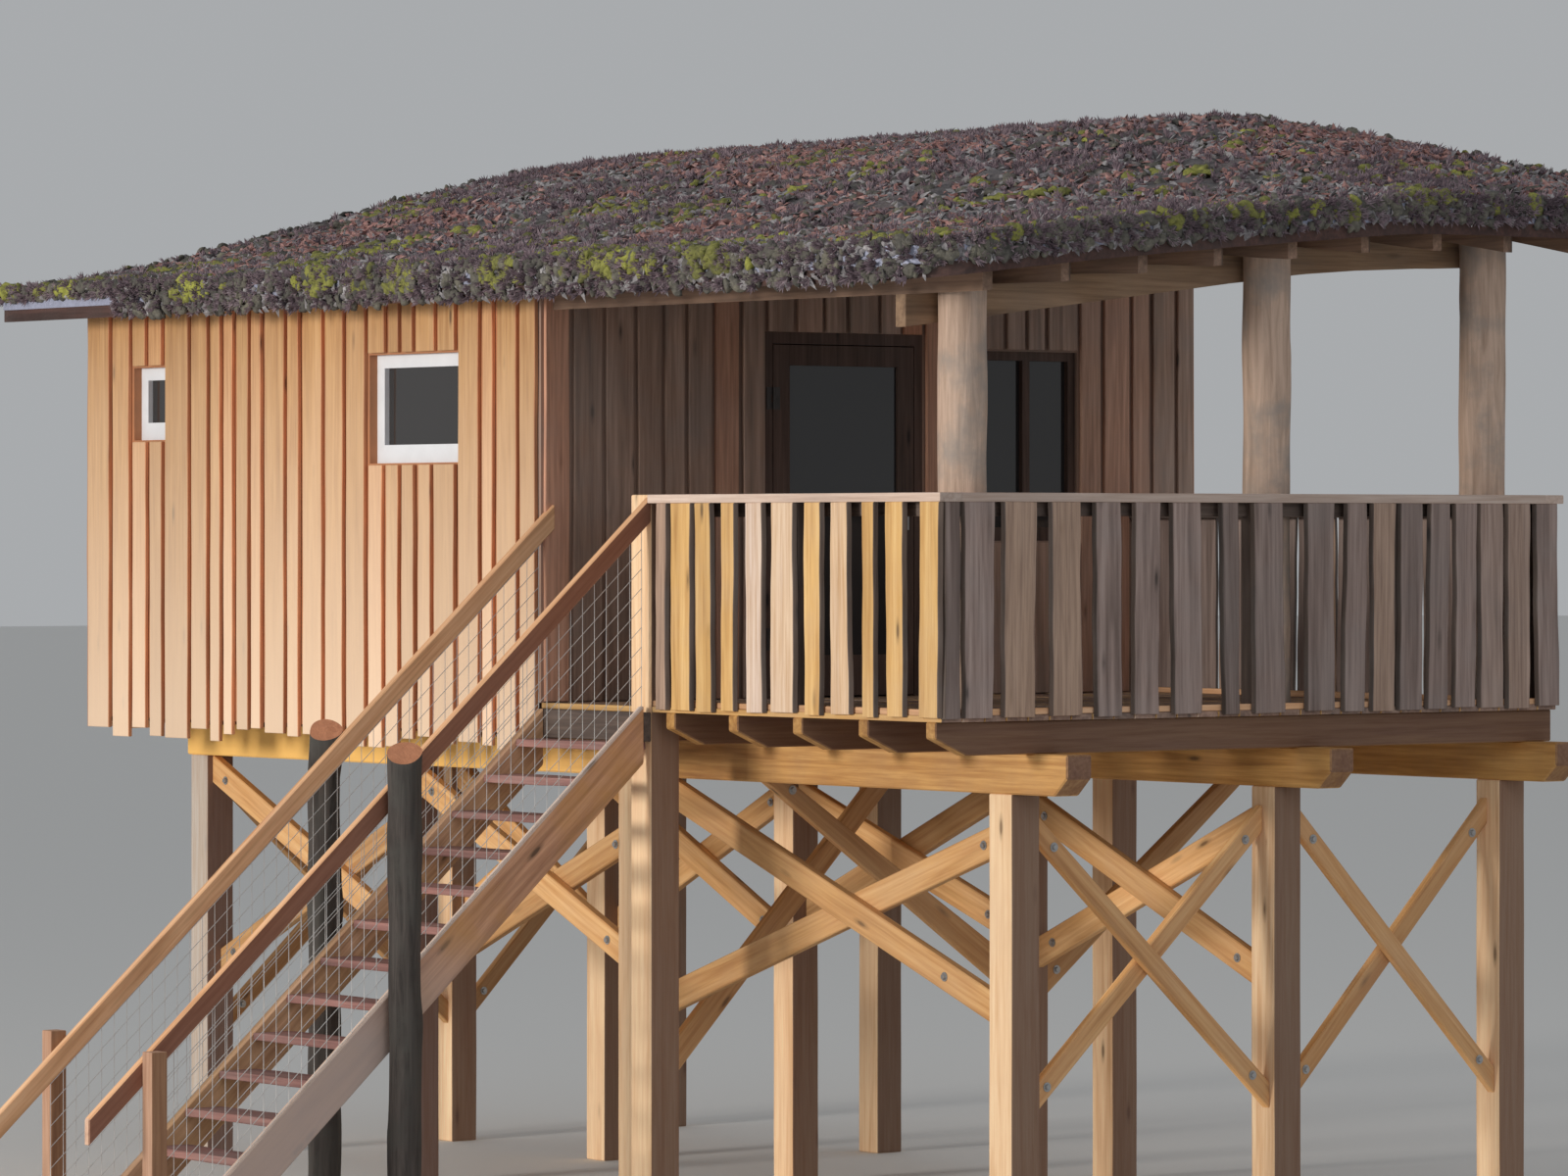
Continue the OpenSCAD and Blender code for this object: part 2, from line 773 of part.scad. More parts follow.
placed() {
  front_posts();
  middle_posts();
  back_posts();
  deck_newel_post();
  front_beam();
  middle_beam();
  back_beam();
  front_braces();
  middle_braces();
  side_braces();
  deck_joists();
  cabin_joists();
  deck_floor();
  cabin_floor();
  stair_side_wall();
  deck_wall_left();
  deck_wall_right();
  deck_wall_head();
  far_side_wall();
  back_wall();
  wide_window_frame();
  wide_window_glass();
  slit_window_frame();
  slit_window_glass();
  deck_window_frame();
  deck_window_glass();
  door_frame();
  hinge_pins();
  door_leaf();
  door_glass();
  door_handle();
  hinge_straps();
  roof_boards();
  roof_rafters();
  green_roof();
  roof_fascia();
  roof_edge_strip();
  roof_posts();
  roof_front_beam();
  left_railing();
  right_railing();
  end_railing();
  stair_header();
  near_string();
  far_string();
  treads();
  near_handrail();
  far_handrail();
  stair_newels();
  stair_log_posts();
  near_netting();
  far_netting();
}
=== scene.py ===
# %% [markdown]
# # A tree house on posts
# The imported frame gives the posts, floors, walls and roof as plain solids.
# This lesson dresses them: sawn timber, waney slabs, a planted roof, logs and wire netting.

# %% Load the frame
import math
import random

import bmesh
import bpy
import numpy as np
from mathutils import Matrix, Vector, noise
from mathutils.bvhtree import BVHTree


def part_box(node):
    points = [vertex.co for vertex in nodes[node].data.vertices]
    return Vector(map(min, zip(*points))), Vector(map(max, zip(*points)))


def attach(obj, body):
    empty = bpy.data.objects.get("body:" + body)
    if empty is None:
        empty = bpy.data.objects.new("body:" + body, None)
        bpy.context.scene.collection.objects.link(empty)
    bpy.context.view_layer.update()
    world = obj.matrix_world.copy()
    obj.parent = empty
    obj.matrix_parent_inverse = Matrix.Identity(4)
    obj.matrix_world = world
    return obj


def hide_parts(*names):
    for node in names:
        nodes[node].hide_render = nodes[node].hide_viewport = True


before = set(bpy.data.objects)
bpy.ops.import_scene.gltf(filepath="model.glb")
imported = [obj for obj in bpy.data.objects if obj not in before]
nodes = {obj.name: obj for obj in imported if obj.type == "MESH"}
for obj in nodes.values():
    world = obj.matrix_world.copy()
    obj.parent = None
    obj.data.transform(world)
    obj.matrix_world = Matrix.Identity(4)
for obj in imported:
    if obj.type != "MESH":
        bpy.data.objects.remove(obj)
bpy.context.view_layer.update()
bpy.ops.object.select_all(action="DESELECT")
rng = random.Random(11)

# %% [markdown]
# All places are given from one corner of the deck, the one that stands nearest to the viewer.
# X runs along the stair, Y runs from the front rail to the cabin, and Z is the height above the ground.
# TURN is a little more than a full turn in radians, for angles that chance picks.

# %% Set the working corner
floor_low, floor_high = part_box("deck_floor")
CORNER = Vector((floor_low.x, floor_low.y, 0))
FLOOR = floor_high.z
X, Y, Z = Vector((1, 0, 0)), Vector((0, 1, 0)), Vector((0, 0, 1))
TURN = 6.3
print("deck's corner", CORNER, "floor", round(FLOOR, 3))


def at(x, y, z):
    """A point in the frame, from distances to the deck's corner and a height."""
    return CORNER + Vector((x, y, z))


def local_box(node):
    """A node's lowest and highest corners, measured from the deck's corner."""
    low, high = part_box(node)
    return low - CORNER, high - CORNER


# %% [markdown]
# The camera stands far back and sees the stair side and the front rail at once through a long lens.
# It is held level and its picture is shifted instead of tilted, so the posts stay upright.

# %% Make the camera
IMAGE_WIDTH = 1600
SENSOR_WIDTH = 36
FOCAL_PIXELS = 6868
HORIZON_OFFSET = 55
VIEWER = at(-20.29, -25.66, 3.632)
HEADING = -37
FAR_CLIP = 300
bpy.ops.object.camera_add(location=VIEWER)
camera = bpy.context.object
camera.data.sensor_width = SENSOR_WIDTH
camera.data.lens = FOCAL_PIXELS / IMAGE_WIDTH * SENSOR_WIDTH
camera.data.shift_y = -HORIZON_OFFSET / IMAGE_WIDTH
camera.data.clip_end = FAR_CLIP
camera.rotation_euler = (math.radians(90), 0, math.radians(HEADING))
bpy.context.scene.camera = camera
print("camera at", VIEWER)

# %% [markdown]
# A finish is a chain of nodes: noise or a pattern, a colour ramp, mixes and the shader.
# Adding nodes by hand takes many clicks, so a small class adds a node with its values and links
# in one step, and every finish below reads as a short recipe.

# %% Add the nodes of a material
BLACK, GREY, WHITE = (0, 0, 0), (0.25, 0.25, 0.25), (1, 1, 1)
COLOUR_RESULT = 2


class Finish:
    """A material in the making. Most methods add nodes and give back the last one's output."""

    def __init__(self, name):
        self.material = bpy.data.materials.new(name)
        self.material.use_nodes = True
        self.tree = self.material.node_tree
        self.shader = self.tree.nodes["Principled BSDF"]

    def feed(self, node, values):
        """Links outputs to a node's inputs, or writes plain values into them."""
        for key, value in values.items():
            socket = node.inputs[key]
            if isinstance(value, bpy.types.NodeSocket):
                self.tree.links.new(value, socket)
            else:
                socket.default_value = (*value, 1) if socket.type == "RGBA" else value

    def add(self, kind, result, values=None, **settings):
        """A new node with its settings and inputs."""
        node = self.tree.nodes.new("ShaderNode" + kind)
        for key, value in settings.items():
            setattr(node, key, value)
        self.feed(node, values or {})
        return node.outputs[result]

    def ramp(self, source, *stops):
        """A colour ramp fed by a source, from (place, colour) stops."""
        result = self.add("ValToRGB", "Color", {"Fac": source})
        elements = result.node.color_ramp.elements
        while len(elements) < len(stops):
            elements.new(0.5)
        for element, (place, colour) in zip(elements, stops):
            element.position = place
            element.color = (*colour, 1)
        return result

    def cloud(self, source, scale, detail=4, rough=0.55, distort=0.0):
        """Smooth noise over coordinates."""
        return self.add("TexNoise", "Fac", {"Vector": source, "Scale": scale, "Detail": detail,
                                            "Roughness": rough, "Distortion": distort})

    def stretch(self, source, scale):
        """Coordinates stretched by a scale on each axis."""
        return self.add("Mapping", "Vector", {"Vector": source, "Scale": scale})

    def part(self, source, axis):
        """One axis of a vector."""
        return self.add("SeparateXYZ", axis, {"Vector": source})

    def fade(self, source, low, high, first, second):
        """A value that goes from first to second while a source goes from low to high."""
        return self.add("MapRange", "Result", {"Value": source, "From Min": low, "From Max": high,
                                               "To Min": first, "To Max": second})

    def mix(self, factor, first, second, mode="MIX"):
        """Two colours mixed by a factor, each an output or a plain value."""
        return self.add("Mix", COLOUR_RESULT, {"Factor": factor, "A": first, "B": second},
                        data_type="RGBA", blend_type=mode)

    def close(self, colour, rough, metal=0.0, height=None, strength=0.0, distance=0.0):
        """Sets the shader, with a bump if it is given a height, and gives back the material."""
        self.feed(self.shader, {"Base Color": colour, "Roughness": rough, "Metallic": metal})
        if height:
            bump = self.add("Bump", "Normal", {"Strength": strength, "Distance": distance, "Height": height})
            self.feed(self.shader, {"Normal": bump})
        return self.material


def dimmed(colour, share):
    """A share of a colour's brightness."""
    return tuple(c * share for c in colour)


# %% [markdown]
# Real timber shows its grain along each piece, so each board carries its own coordinates
# in an attribute named grain, and a random shade in an attribute named tone.
# The materials read both, and no two boards look the same. The door, the fascia and the roof's
# underside stay as the frame has them, so their woods take the grain from an axis of the object.

# %% Build the wood material
GRAIN_TURNS = {"x": (0, 0, 0), "y": (0, 0, -math.pi / 2), "z": (0, math.pi / 2, 0)}
WOOD_ROUGH = 0.75


def wood(name, pale, middle, dark, stain, stain_amount, knots=1.0, axis=None, tone_range=0.5,
         odd=None, bleach_and_painted_light=None, joints=None, painted_front_shade=None):
    """Sawn or peeled timber: streaks along the grain, broad bands, knots and weather stains.

    odd is the colour of the boards with the highest tone, and joints is the width of painted-in planks.
    bleach is (axis, from, to, colour, amount) for a colour that takes over towards one end: on the walls
    it is partly weathering and partly painted shade under the eaves, on the front beam it is painted light
    where the wall's boards shade it, and on the near string it makes the foot greyer.
    damp is (colour, amount) for painted shade on the faces that look to the front.
    """
    finish = Finish(name)
    place = finish.add("TexCoord", "Object")
    if axis is None:
        grain = finish.add("Attribute", "Vector", attribute_name="grain")
        tone = finish.add("Attribute", "Fac", attribute_name="tone")
    else:
        grain = finish.add("Mapping", "Vector", {"Vector": place, "Rotation": GRAIN_TURNS[axis]})
        tone = finish.cloud(place, 0.7, 1)
    streaks = finish.cloud(finish.stretch(grain, (1.3, 34, 34)), 1.6, 6, 0.62, 0.3)
    bands = finish.cloud(finish.stretch(grain, (0.5, 9, 9)), 1.3, 3, 0.5, 1.2)
    body = finish.ramp(bands, (0.32, pale), (0.52, middle), (0.74, dark))
    fine = finish.ramp(streaks, (0.30, dimmed(middle, 0.72)), (0.62, WHITE))
    body = finish.mix(0.5, body, fine, "MULTIPLY")
    cells = {"Scale": 1.0, "Vector": finish.stretch(grain, (1.7, 6.5, 6.5))}
    centres = finish.ramp(finish.add("TexVoronoi", "Distance", cells),
                          (0.045, WHITE), (0.075, (0.45, 0.45, 0.45)), (0.14, BLACK))
    shown = finish.add("Math", "Value", {0: centres, 1: knots}, operation="MULTIPLY")
    body = finish.mix(shown, body, dimmed(dark, 0.35))
    weather = finish.cloud(place, 2.3, 5, 0.6)
    body = finish.mix(finish.ramp(weather, (0.42, BLACK), (0.72, (stain_amount,) * 3)), body, stain)
    if odd:
        rare = finish.ramp(tone, (0.72, BLACK), (0.86, (0.75, 0.75, 0.75)))
        body = finish.mix(rare, body, finish.mix(0.6, odd, fine, "MULTIPLY"))
    # A colour that fades in towards one end: partly weathering and partly painted shade on the walls, painted
    # light on the front beam.
    if bleach_and_painted_light:
        side, low, high, colour, amount = bleach_and_painted_light
        body = finish.mix(finish.fade(finish.part(place, side), low, high, amount, 0), body, colour)
    if joints:
        wave = finish.add("Math", "Value", {0: finish.part(grain, "Y"), 1: joints / 2}, operation="PINGPONG")
        body = finish.mix(finish.ramp(wave, (0.003, GREY), (0.009, WHITE)), dimmed(dark, 0.25), body)
    # Painted shade: faces that look to the front are mixed towards a darker colour.
    if painted_front_shade:
        facing = finish.part(finish.add("NewGeometry", "True Normal"), "Y")
        body = finish.mix(finish.fade(facing, -0.8, -0.4, painted_front_shade[1], 0), body,
                          finish.mix(0.5, painted_front_shade[0], fine, "MULTIPLY"))
    light = finish.fade(tone, 0, 1, 1 - tone_range / 2, 1 + tone_range / 2)
    body = finish.add("HueSaturation", "Color", {"Value": light, "Color": body})
    return finish.close(body, WOOD_ROUGH, height=streaks, strength=0.35, distance=0.004)


# %% [markdown]
# The house is young, so its walls and posts are still pale, while the front railing has turned grey.
# Each wood is given by three colours of its own, the colour of its stains and how strong they are.

# %% Name the woods
# PAINTED_FRONT_SHADE is painted shade for the faces that look to the front: posts, beams, joists and braces
# take it, and the newels, the near rail and the rail caps take painted shade in colours of their own.
PAINTED_FRONT_SHADE = (0.16, 0.085, 0.065)
# The cladding turns paler towards its foot: partly weathering, partly painted shade under the eaves at its
# top.
pale_boards = wood("pale_boards", (0.68, 0.40, 0.18), (0.61, 0.335, 0.13), (0.47, 0.24, 0.09),
                   (0.60, 0.35, 0.18), 0.4, tone_range=0.3, odd=(0.60, 0.32, 0.15),
                   bleach_and_painted_light=("Z", 2.6, 4.9, (0.88, 0.66, 0.48), 0.85))
edge_wood = wood("edge_wood", (0.90, 0.45, 0.23), (0.76, 0.36, 0.18), (0.52, 0.24, 0.12),
                 (0.46, 0.28, 0.18), 0.3)
strip_wood = wood("strip_wood", (0.84, 0.40, 0.19), (0.68, 0.30, 0.14), (0.42, 0.18, 0.09),
                  (0.30, 0.17, 0.11), 0.4)
dark_boards = wood("dark_boards", (0.64, 0.43, 0.33), (0.50, 0.325, 0.24), (0.31, 0.21, 0.16),
                   (0.36, 0.30, 0.27), 0.5, odd=(0.66, 0.28, 0.15))
post_wood = wood("post_wood", (1.0, 0.75, 0.48), (0.97, 0.69, 0.43), (0.78, 0.49, 0.27),
                 (0.74, 0.50, 0.32), 0.3, odd=(0.34, 0.34, 0.35), painted_front_shade=(PAINTED_FRONT_SHADE, 0.85))
newel_wood = wood("newel_wood", (0.60, 0.37, 0.25), (0.52, 0.30, 0.19), (0.36, 0.19, 0.12),
                  (0.38, 0.24, 0.17), 0.4, painted_front_shade=((0.34, 0.17, 0.08), 0.8))
beam_wood = wood("beam_wood", (0.70, 0.40, 0.13), (0.57, 0.30, 0.085), (0.38, 0.18, 0.05),
                 (0.36, 0.21, 0.10), 0.4, painted_front_shade=(PAINTED_FRONT_SHADE, 0.85))
# Towards the cabin the front beam turns a brighter orange: painted light where the wall's boards shade it.
front_beam_wood = wood("front_beam_wood", (0.64, 0.365, 0.13), (0.52, 0.27, 0.085), (0.35, 0.165, 0.05),
                       (0.33, 0.19, 0.10), 0.4, bleach_and_painted_light=("Y", 0.6, -1.2, (0.98, 0.58, 0.16), 0.85),
                       painted_front_shade=(PAINTED_FRONT_SHADE, 0.85))
# A near-black wood for painted shade, where timber stays in the dark.
shaded_wood = wood("shaded_wood", (0.17, 0.12, 0.095), (0.12, 0.085, 0.07), (0.08, 0.055, 0.045),
                   (0.11, 0.09, 0.08), 0.4)
brace_wood = wood("brace_wood", (0.90, 0.56, 0.26), (0.82, 0.47, 0.19), (0.60, 0.31, 0.11),
                  (0.62, 0.38, 0.22), 0.3, painted_front_shade=(PAINTED_FRONT_SHADE, 0.4))
floor_wood = wood("floor_wood", (0.42, 0.27, 0.20), (0.32, 0.20, 0.15), (0.21, 0.13, 0.10),
                  (0.24, 0.20, 0.18), 0.5)
tread_wood = wood("tread_wood", (0.40, 0.20, 0.17), (0.31, 0.15, 0.13), (0.21, 0.10, 0.09),
                  (0.25, 0.19, 0.18), 0.5)
near_string_wood = wood("near_string_wood", (0.64, 0.365, 0.225), (0.51, 0.28, 0.17), (0.33, 0.18, 0.105),
                        (0.50, 0.25, 0.07), 0.8, knots=1.3, bleach_and_painted_light=("Z", 1.1, 1.65, (0.42, 0.345, 0.32), 0.8))
far_string_wood = wood("far_string_wood", (0.66, 0.42, 0.27), (0.53, 0.32, 0.19), (0.34, 0.20, 0.12),
                       (0.44, 0.26, 0.11), 0.7)
yellow_slabs = wood("yellow_slabs", (0.80, 0.53, 0.23), (0.73, 0.45, 0.17), (0.51, 0.29, 0.10),
                    (0.60, 0.41, 0.25), 0.4, tone_range=0.4, odd=(0.66, 0.56, 0.52))
grey_slabs = wood("grey_slabs", (0.40, 0.305, 0.27), (0.31, 0.225, 0.195), (0.185, 0.13, 0.11),
                  (0.25, 0.205, 0.19), 0.6, tone_range=0.7, odd=(0.38, 0.25, 0.17))
bark_rim = wood("bark_rim", (0.20, 0.14, 0.11), (0.13, 0.09, 0.07), (0.07, 0.05, 0.04),
                (0.16, 0.14, 0.13), 0.5)
rail_wood = wood("rail_wood", (0.84, 0.54, 0.33), (0.74, 0.43, 0.23), (0.46, 0.25, 0.12),
                 (0.55, 0.36, 0.25), 0.35, knots=1.4)
# The near rail's front face carries painted shade. The far rail's wood is made brighter: painted light on a
# face the lamps leave in shade, and on the near rail's upper faces.
near_rail_wood = wood("near_rail_wood", (0.84, 0.58, 0.42), (0.74, 0.47, 0.32), (0.46, 0.27, 0.17),
                      (0.55, 0.40, 0.32), 0.4, knots=1.2, painted_front_shade=((0.23, 0.081, 0.043), 0.9))
far_rail_painted_light_wood = wood("far_rail_painted_light_wood", (0.98, 0.62, 0.36), (0.90, 0.53, 0.29), (0.60, 0.32, 0.15),
                     (0.72, 0.42, 0.25), 0.3, knots=1.4)
cap_wood = wood("cap_wood", (0.80, 0.64, 0.54), (0.71, 0.54, 0.44), (0.50, 0.36, 0.28),
                (0.49, 0.39, 0.33), 0.5, painted_front_shade=((0.39, 0.31, 0.27), 0.7))
fascia_wood = wood("fascia_wood", (0.105, 0.047, 0.037), (0.075, 0.034, 0.027), (0.045, 0.022, 0.018),
                   (0.08, 0.055, 0.05), 0.5, axis="y")
soffit_wood = wood("soffit_wood", (0.36, 0.22, 0.15), (0.26, 0.16, 0.105), (0.17, 0.10, 0.065),
                   (0.18, 0.13, 0.11), 0.4, axis="y", joints=0.14)
joist_wood = wood("joist_wood", (0.44, 0.28, 0.17), (0.34, 0.21, 0.12), (0.21, 0.13, 0.08),
                  (0.24, 0.19, 0.15), 0.4, axis="x")
door_wood = wood("door_wood", (0.17, 0.10, 0.075), (0.13, 0.075, 0.055), (0.08, 0.048, 0.035),
                 (0.11, 0.085, 0.075), 0.3, axis="z")
print("wood materials", len([m for m in bpy.data.materials if m.use_nodes]))

# %% [markdown]
# A board starts as a cube of unit size with a few cuts along its length.
# It is modelled once for each number of cuts, and each board is then a copy that is
# scaled, given wavy edges where the bark was, turned and set in place.

# %% Model boards
LONG_EDGE = 0.5
GRAIN_RANGE = 40
SAMPLES = {}


def select_only(*pieces):
    """Selects some pieces and nothing else. The first one is the active one."""
    bpy.ops.object.select_all(action="DESELECT")
    for piece in pieces:
        piece.select_set(True)
    bpy.context.view_layer.objects.active = pieces[0]


def taken(piece):
    """Keeps a sample's mesh, with its place applied, and removes its object."""
    select_only(piece)
    bpy.ops.object.transform_apply(location=True, rotation=True, scale=True)
    mesh = piece.data.copy()
    bpy.data.objects.remove(piece)
    return mesh


def cut_along(piece, axis, cuts):
    """Divides the edges that run along an axis by a number of cuts."""
    bpy.ops.object.mode_set(mode="EDIT")
    bpy.ops.mesh.select_mode(type="EDGE")
    bpy.ops.mesh.select_all(action="DESELECT")
    shape = bmesh.from_edit_mesh(piece.data)
    for edge in shape.edges:
        edge.select_set(abs(edge.verts[0].co[axis] - edge.verts[1].co[axis]) > LONG_EDGE)
    bmesh.update_edit_mesh(piece.data)
    bpy.ops.mesh.subdivide(number_cuts=cuts)
    bpy.ops.object.mode_set(mode="OBJECT")


def sample_board(cuts):
    """The unit board with a number of cuts, modelled when it is first asked for."""
    if cuts not in SAMPLES:
        bpy.ops.mesh.primitive_cube_add(size=1)
        sample = bpy.context.object
        if cuts:
            cut_along(sample, 0, cuts)
        SAMPLES[cuts] = taken(sample)
    return SAMPLES[cuts]


def read(mesh):
    """The places of a mesh's points, one row for each."""
    values = np.empty(len(mesh.vertices) * 3)
    mesh.vertices.foreach_get("co", values)
    return values.reshape(-1, 3)


def marked(mesh, grain, tone):
    """Writes the grain coordinates and the shade that the wood materials read."""
    rows = mesh.attributes.new("grain", "FLOAT_VECTOR", "POINT").data
    rows.foreach_set("vector", np.asarray(grain, float).ravel())
    rows = mesh.attributes.new("tone", "FLOAT", "POINT").data
    rows.foreach_set("value", np.full(len(mesh.vertices), tone))


def grain_shift():
    """A random place in the grain, so that no two boards are cut from the same spot."""
    return [rng.uniform(0, GRAIN_RANGE) for _ in range(3)]


def board(pile, start, end, across, width, thick, cuts=0, wander=0.0, tone=None, wane=0.0):
    """Adds a board from start to end to a pile.

    Its width lies along across, wander is how far its edges wave, and wane narrows its outer face.
    """
    along = end - start
    length = along.length
    along = along.normalized()
    across = (across - along * across.dot(along)).normalized()
    out = along.cross(across)
    mesh = sample_board(cuts).copy()
    points = read(mesh) * (length, width, thick)
    if wander:
        reach = points[:, 0]
        for side in (-1, 1):
            a, b, c = (rng.uniform(0, TURN) for _ in range(3))
            wave = 0.5 * np.sin(reach * 3.1 + a) + 0.3 * np.sin(reach * 7.7 + b)
            wave += 0.2 * np.sin(reach * 17 + c)
            points[:, 1] += np.where(points[:, 1] * side > 0, wander * wave, 0)
    if wane:
        points[:, 1] *= np.where(points[:, 2] > 0, 1 - 2 * wane / width, 1)
    shift = grain_shift()
    marked(mesh, points + shift, rng.random() if tone is None else tone)
    points = points @ np.array((along, across, out)) + np.array((start + end) / 2)
    mesh.vertices.foreach_set("co", points.ravel())
    piece = bpy.data.objects.new("board", mesh)
    bpy.context.scene.collection.objects.link(piece)
    pile.append(piece)


# %% [markdown]
# A wall or a floor is one piece of many boards. They are joined, their edges are softened by a
# bevel that catches the light, the piece is told which body it rides on, and the frame's parts it stands for
# are hidden.

# %% Join boards in groups
def finish_piece(piece, stands_for=()):
    piece.select_set(False)
    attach(piece, "building")
    if stands_for:
        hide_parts(*stands_for)
    print(piece.name, len(piece.data.polygons))


def gather(pile, name, material, edge=0.004, stands_for=(), segments=1):
    """Joins a pile of boards into one named piece with softened edges."""
    select_only(*pile)
    if len(pile) > 1:
        bpy.ops.object.join()
    piece = bpy.context.view_layer.objects.active
    piece.name = name
    if edge:
        soft = piece.modifiers.new("soft_edge", "BEVEL")
        soft.width = edge
        soft.segments = segments
        soft.limit_method = "ANGLE"
        bpy.ops.object.modifier_apply(modifier=soft.name)
    piece.data.materials.clear()
    piece.data.materials.append(material)
    finish_piece(piece, stands_for)
    return piece


def recolour(piece, material, chosen):
    """Adds a material to a piece, for the faces that chosen picks."""
    piece.data.materials.append(material)
    last = len(piece.data.materials) - 1
    for polygon in piece.data.polygons:
        if chosen(polygon):
            polygon.material_index = last


def looks_along(axis):
    """Picks the faces that look along an axis, either way."""
    return lambda polygon: abs(polygon.normal[axis]) > 0.6


def looks_up(polygon):
    """Picks the faces that look more up than sideways."""
    return polygon.normal.z > 0.5


# %% [markdown]
# The roof's underside tells how high a wall board may reach, and its top carries the plants.
# Search trees over the roof's own meshes answer both questions.

# %% Measure the roof
graph = bpy.context.evaluated_depsgraph_get()
roof_tree = BVHTree.FromObject(nodes["roof_boards"], graph)
plant_tree = BVHTree.FromObject(nodes["green_roof"], graph)
SKY = 9.0
ROOM_HEIGHT = 3.2
LOWEST_EAVES = 4.4
print("deck's corner lies under", round(roof_tree.ray_cast(at(0, 0, ROOM_HEIGHT), Z)[0].z, 3))


def under_roof(x, y):
    """The height of the roof's underside over a point, or the sky's where there is no roof."""
    hit = roof_tree.ray_cast(Vector((x, y, ROOM_HEIGHT)), Z)[0]
    return hit.z if hit else SKY


def trim_to_roof(piece, gap=0.004):
    """Cuts the tops of upright boards to the slope of the roof."""
    for vertex in piece.data.vertices:
        if vertex.co.z > LOWEST_EAVES:
            vertex.co.z = min(vertex.co.z, under_roof(vertex.co.x, vertex.co.y) - gap)


# %% [markdown]
# The cabin's long wall is clad with upright boards of random width.
# Narrow strips lie behind the joints, and the boards hang unevenly over the wall's foot.
# Over and under a window they stop a little short of its frame.

# %% Clad the walls
wall_low = local_box("stair_side_wall")[0]
back_high = local_box("back_wall")[1]
head_low, head_high = local_box("deck_wall_head")
deck_end = local_box("deck_floor")[1]
wall_start, wall_end = deck_end.y, back_high.y
cabin_far = back_high.x
TOP = 6.2
LAST_BOARD = 1.3
UNEVEN = 0.004
FOOT = wall_low.z - 0.03
SILL = FLOOR + 0.005
FRAME_GAP = 0.01


def window(node, axis):
    """A window as (from, to, sill, head), with the gap that boards leave over and under its frame."""
    low, high = local_box(node)
    return low[axis], high[axis], low.z - FRAME_GAP, high.z + FRAME_GAP


def wall_spans(start, end, foot, openings):
    """The stretches of a wall beside, under and over its openings, as (from, to, bottom, top)."""
    spans = []
    for u0, u1, sill, head in openings:
        spans.append((start, u0, foot, TOP))
        if sill > foot:
            spans.append((u0, u1, foot, sill))
        spans.append((u0, u1, head, TOP))
        start = u1
    return spans + [(start, end, foot, TOP)]


def clad(name, material, slot, place, out, spans, widths, gap, thick, wander, hang=0.0):
    """Upright boards on a wall, where place(u, z) is a point on its face."""
    pile = []
    along = place(1, 0) - place(0, 0)
    for u0, u1, z0, z1 in spans:
        u = u0
        while u < u1 - 0.01:
            width = rng.uniform(*widths)
            if u1 - u - width < widths[0]:
                width = u1 - u if u1 - u < widths[1] * LAST_BOARD else (u1 - u) / 2
            low = z0 - (rng.uniform(0, hang) if z0 < FLOOR else 0)
            lift = out * (thick / 2 + rng.uniform(0, UNEVEN))
            middle = u + width / 2
            board(pile, place(middle, low) + lift, place(middle, z1) + lift, along, width - gap, thick,
                  cuts=14, wander=wander)
            u += width
    piece = gather(pile, name, material, edge=0.003)
    trim_to_roof(piece)
    return piece


doorway = (head_low.x, head_high.x, SILL, head_low.z)
stair_windows = [window("wide_window_frame", 1), window("slit_window_frame", 1)]
PLAIN_SIDES = {"widths": (0.15, 0.24), "gap": 0.035, "thick": 0.022, "wander": 0.004, "hang": 0.06}
piece = clad("stair_side_boards", pale_boards, "pale_boards", lambda u, z: at(0, u, z), -X,
             wall_spans(wall_start, wall_end, FOOT, stair_windows),
             widths=(0.13, 0.24), gap=0.042, thick=0.024, wander=0.004, hang=0.09)
recolour(piece, edge_wood, looks_along(1))
clad("deck_side_boards", dark_boards, "dark_boards", lambda u, z: at(u, wall_start, z), -Y,
     wall_spans(0.0, cabin_far, SILL, [doorway, window("deck_window_frame", 0)]),
     widths=(0.14, 0.22), gap=0.03, thick=0.022, wander=0.003)
piece = clad("far_side_boards", pale_boards, "pale_boards", lambda u, z: at(cabin_far, u, z), X,
             [(wall_start, wall_end, FOOT, TOP)], **PLAIN_SIDES)
recolour(piece, edge_wood, looks_along(1))
piece = clad("back_boards", pale_boards, "pale_boards", lambda u, z: at(u, wall_end, z), Y,
             [(-0.02, cabin_far + 0.02, FOOT, TOP)], **PLAIN_SIDES)
recolour(piece, edge_wood, looks_along(0))

# %% [markdown]
# Posts, beams and braces are thick sawn timbers. Each is one board with a softened edge.
# The frame has a row of posts as one node, so the separate solids in it are found first.

# %% Set up the posts
PALE_TONE = 0.7
GREY_TONE = 0.9
GREY_FROM = deck_end.y + 2


def loose_boxes(node):
    """The box of each separate solid in a node and its points, measured from the deck's corner."""
    shape = bmesh.new()
    shape.from_mesh(nodes[node].data)
    bmesh.ops.remove_doubles(shape, verts=shape.verts, dist=0.0001)
    boxes, seen = [], set()
    for first in shape.verts:
        if first in seen:
            continue
        group, queue = [], [first]
        seen.add(first)
        while queue:
            vertex = queue.pop()
            group.append(vertex.co - CORNER)
            for edge in vertex.link_edges:
                other = edge.other_vert(vertex)
                if other not in seen:
                    seen.add(other)
                    queue.append(other)
        boxes.append((Vector(map(min, zip(*group))), Vector(map(max, zip(*group))), group))
    shape.free()
    return sorted(boxes, key=lambda b: tuple(b[0]))


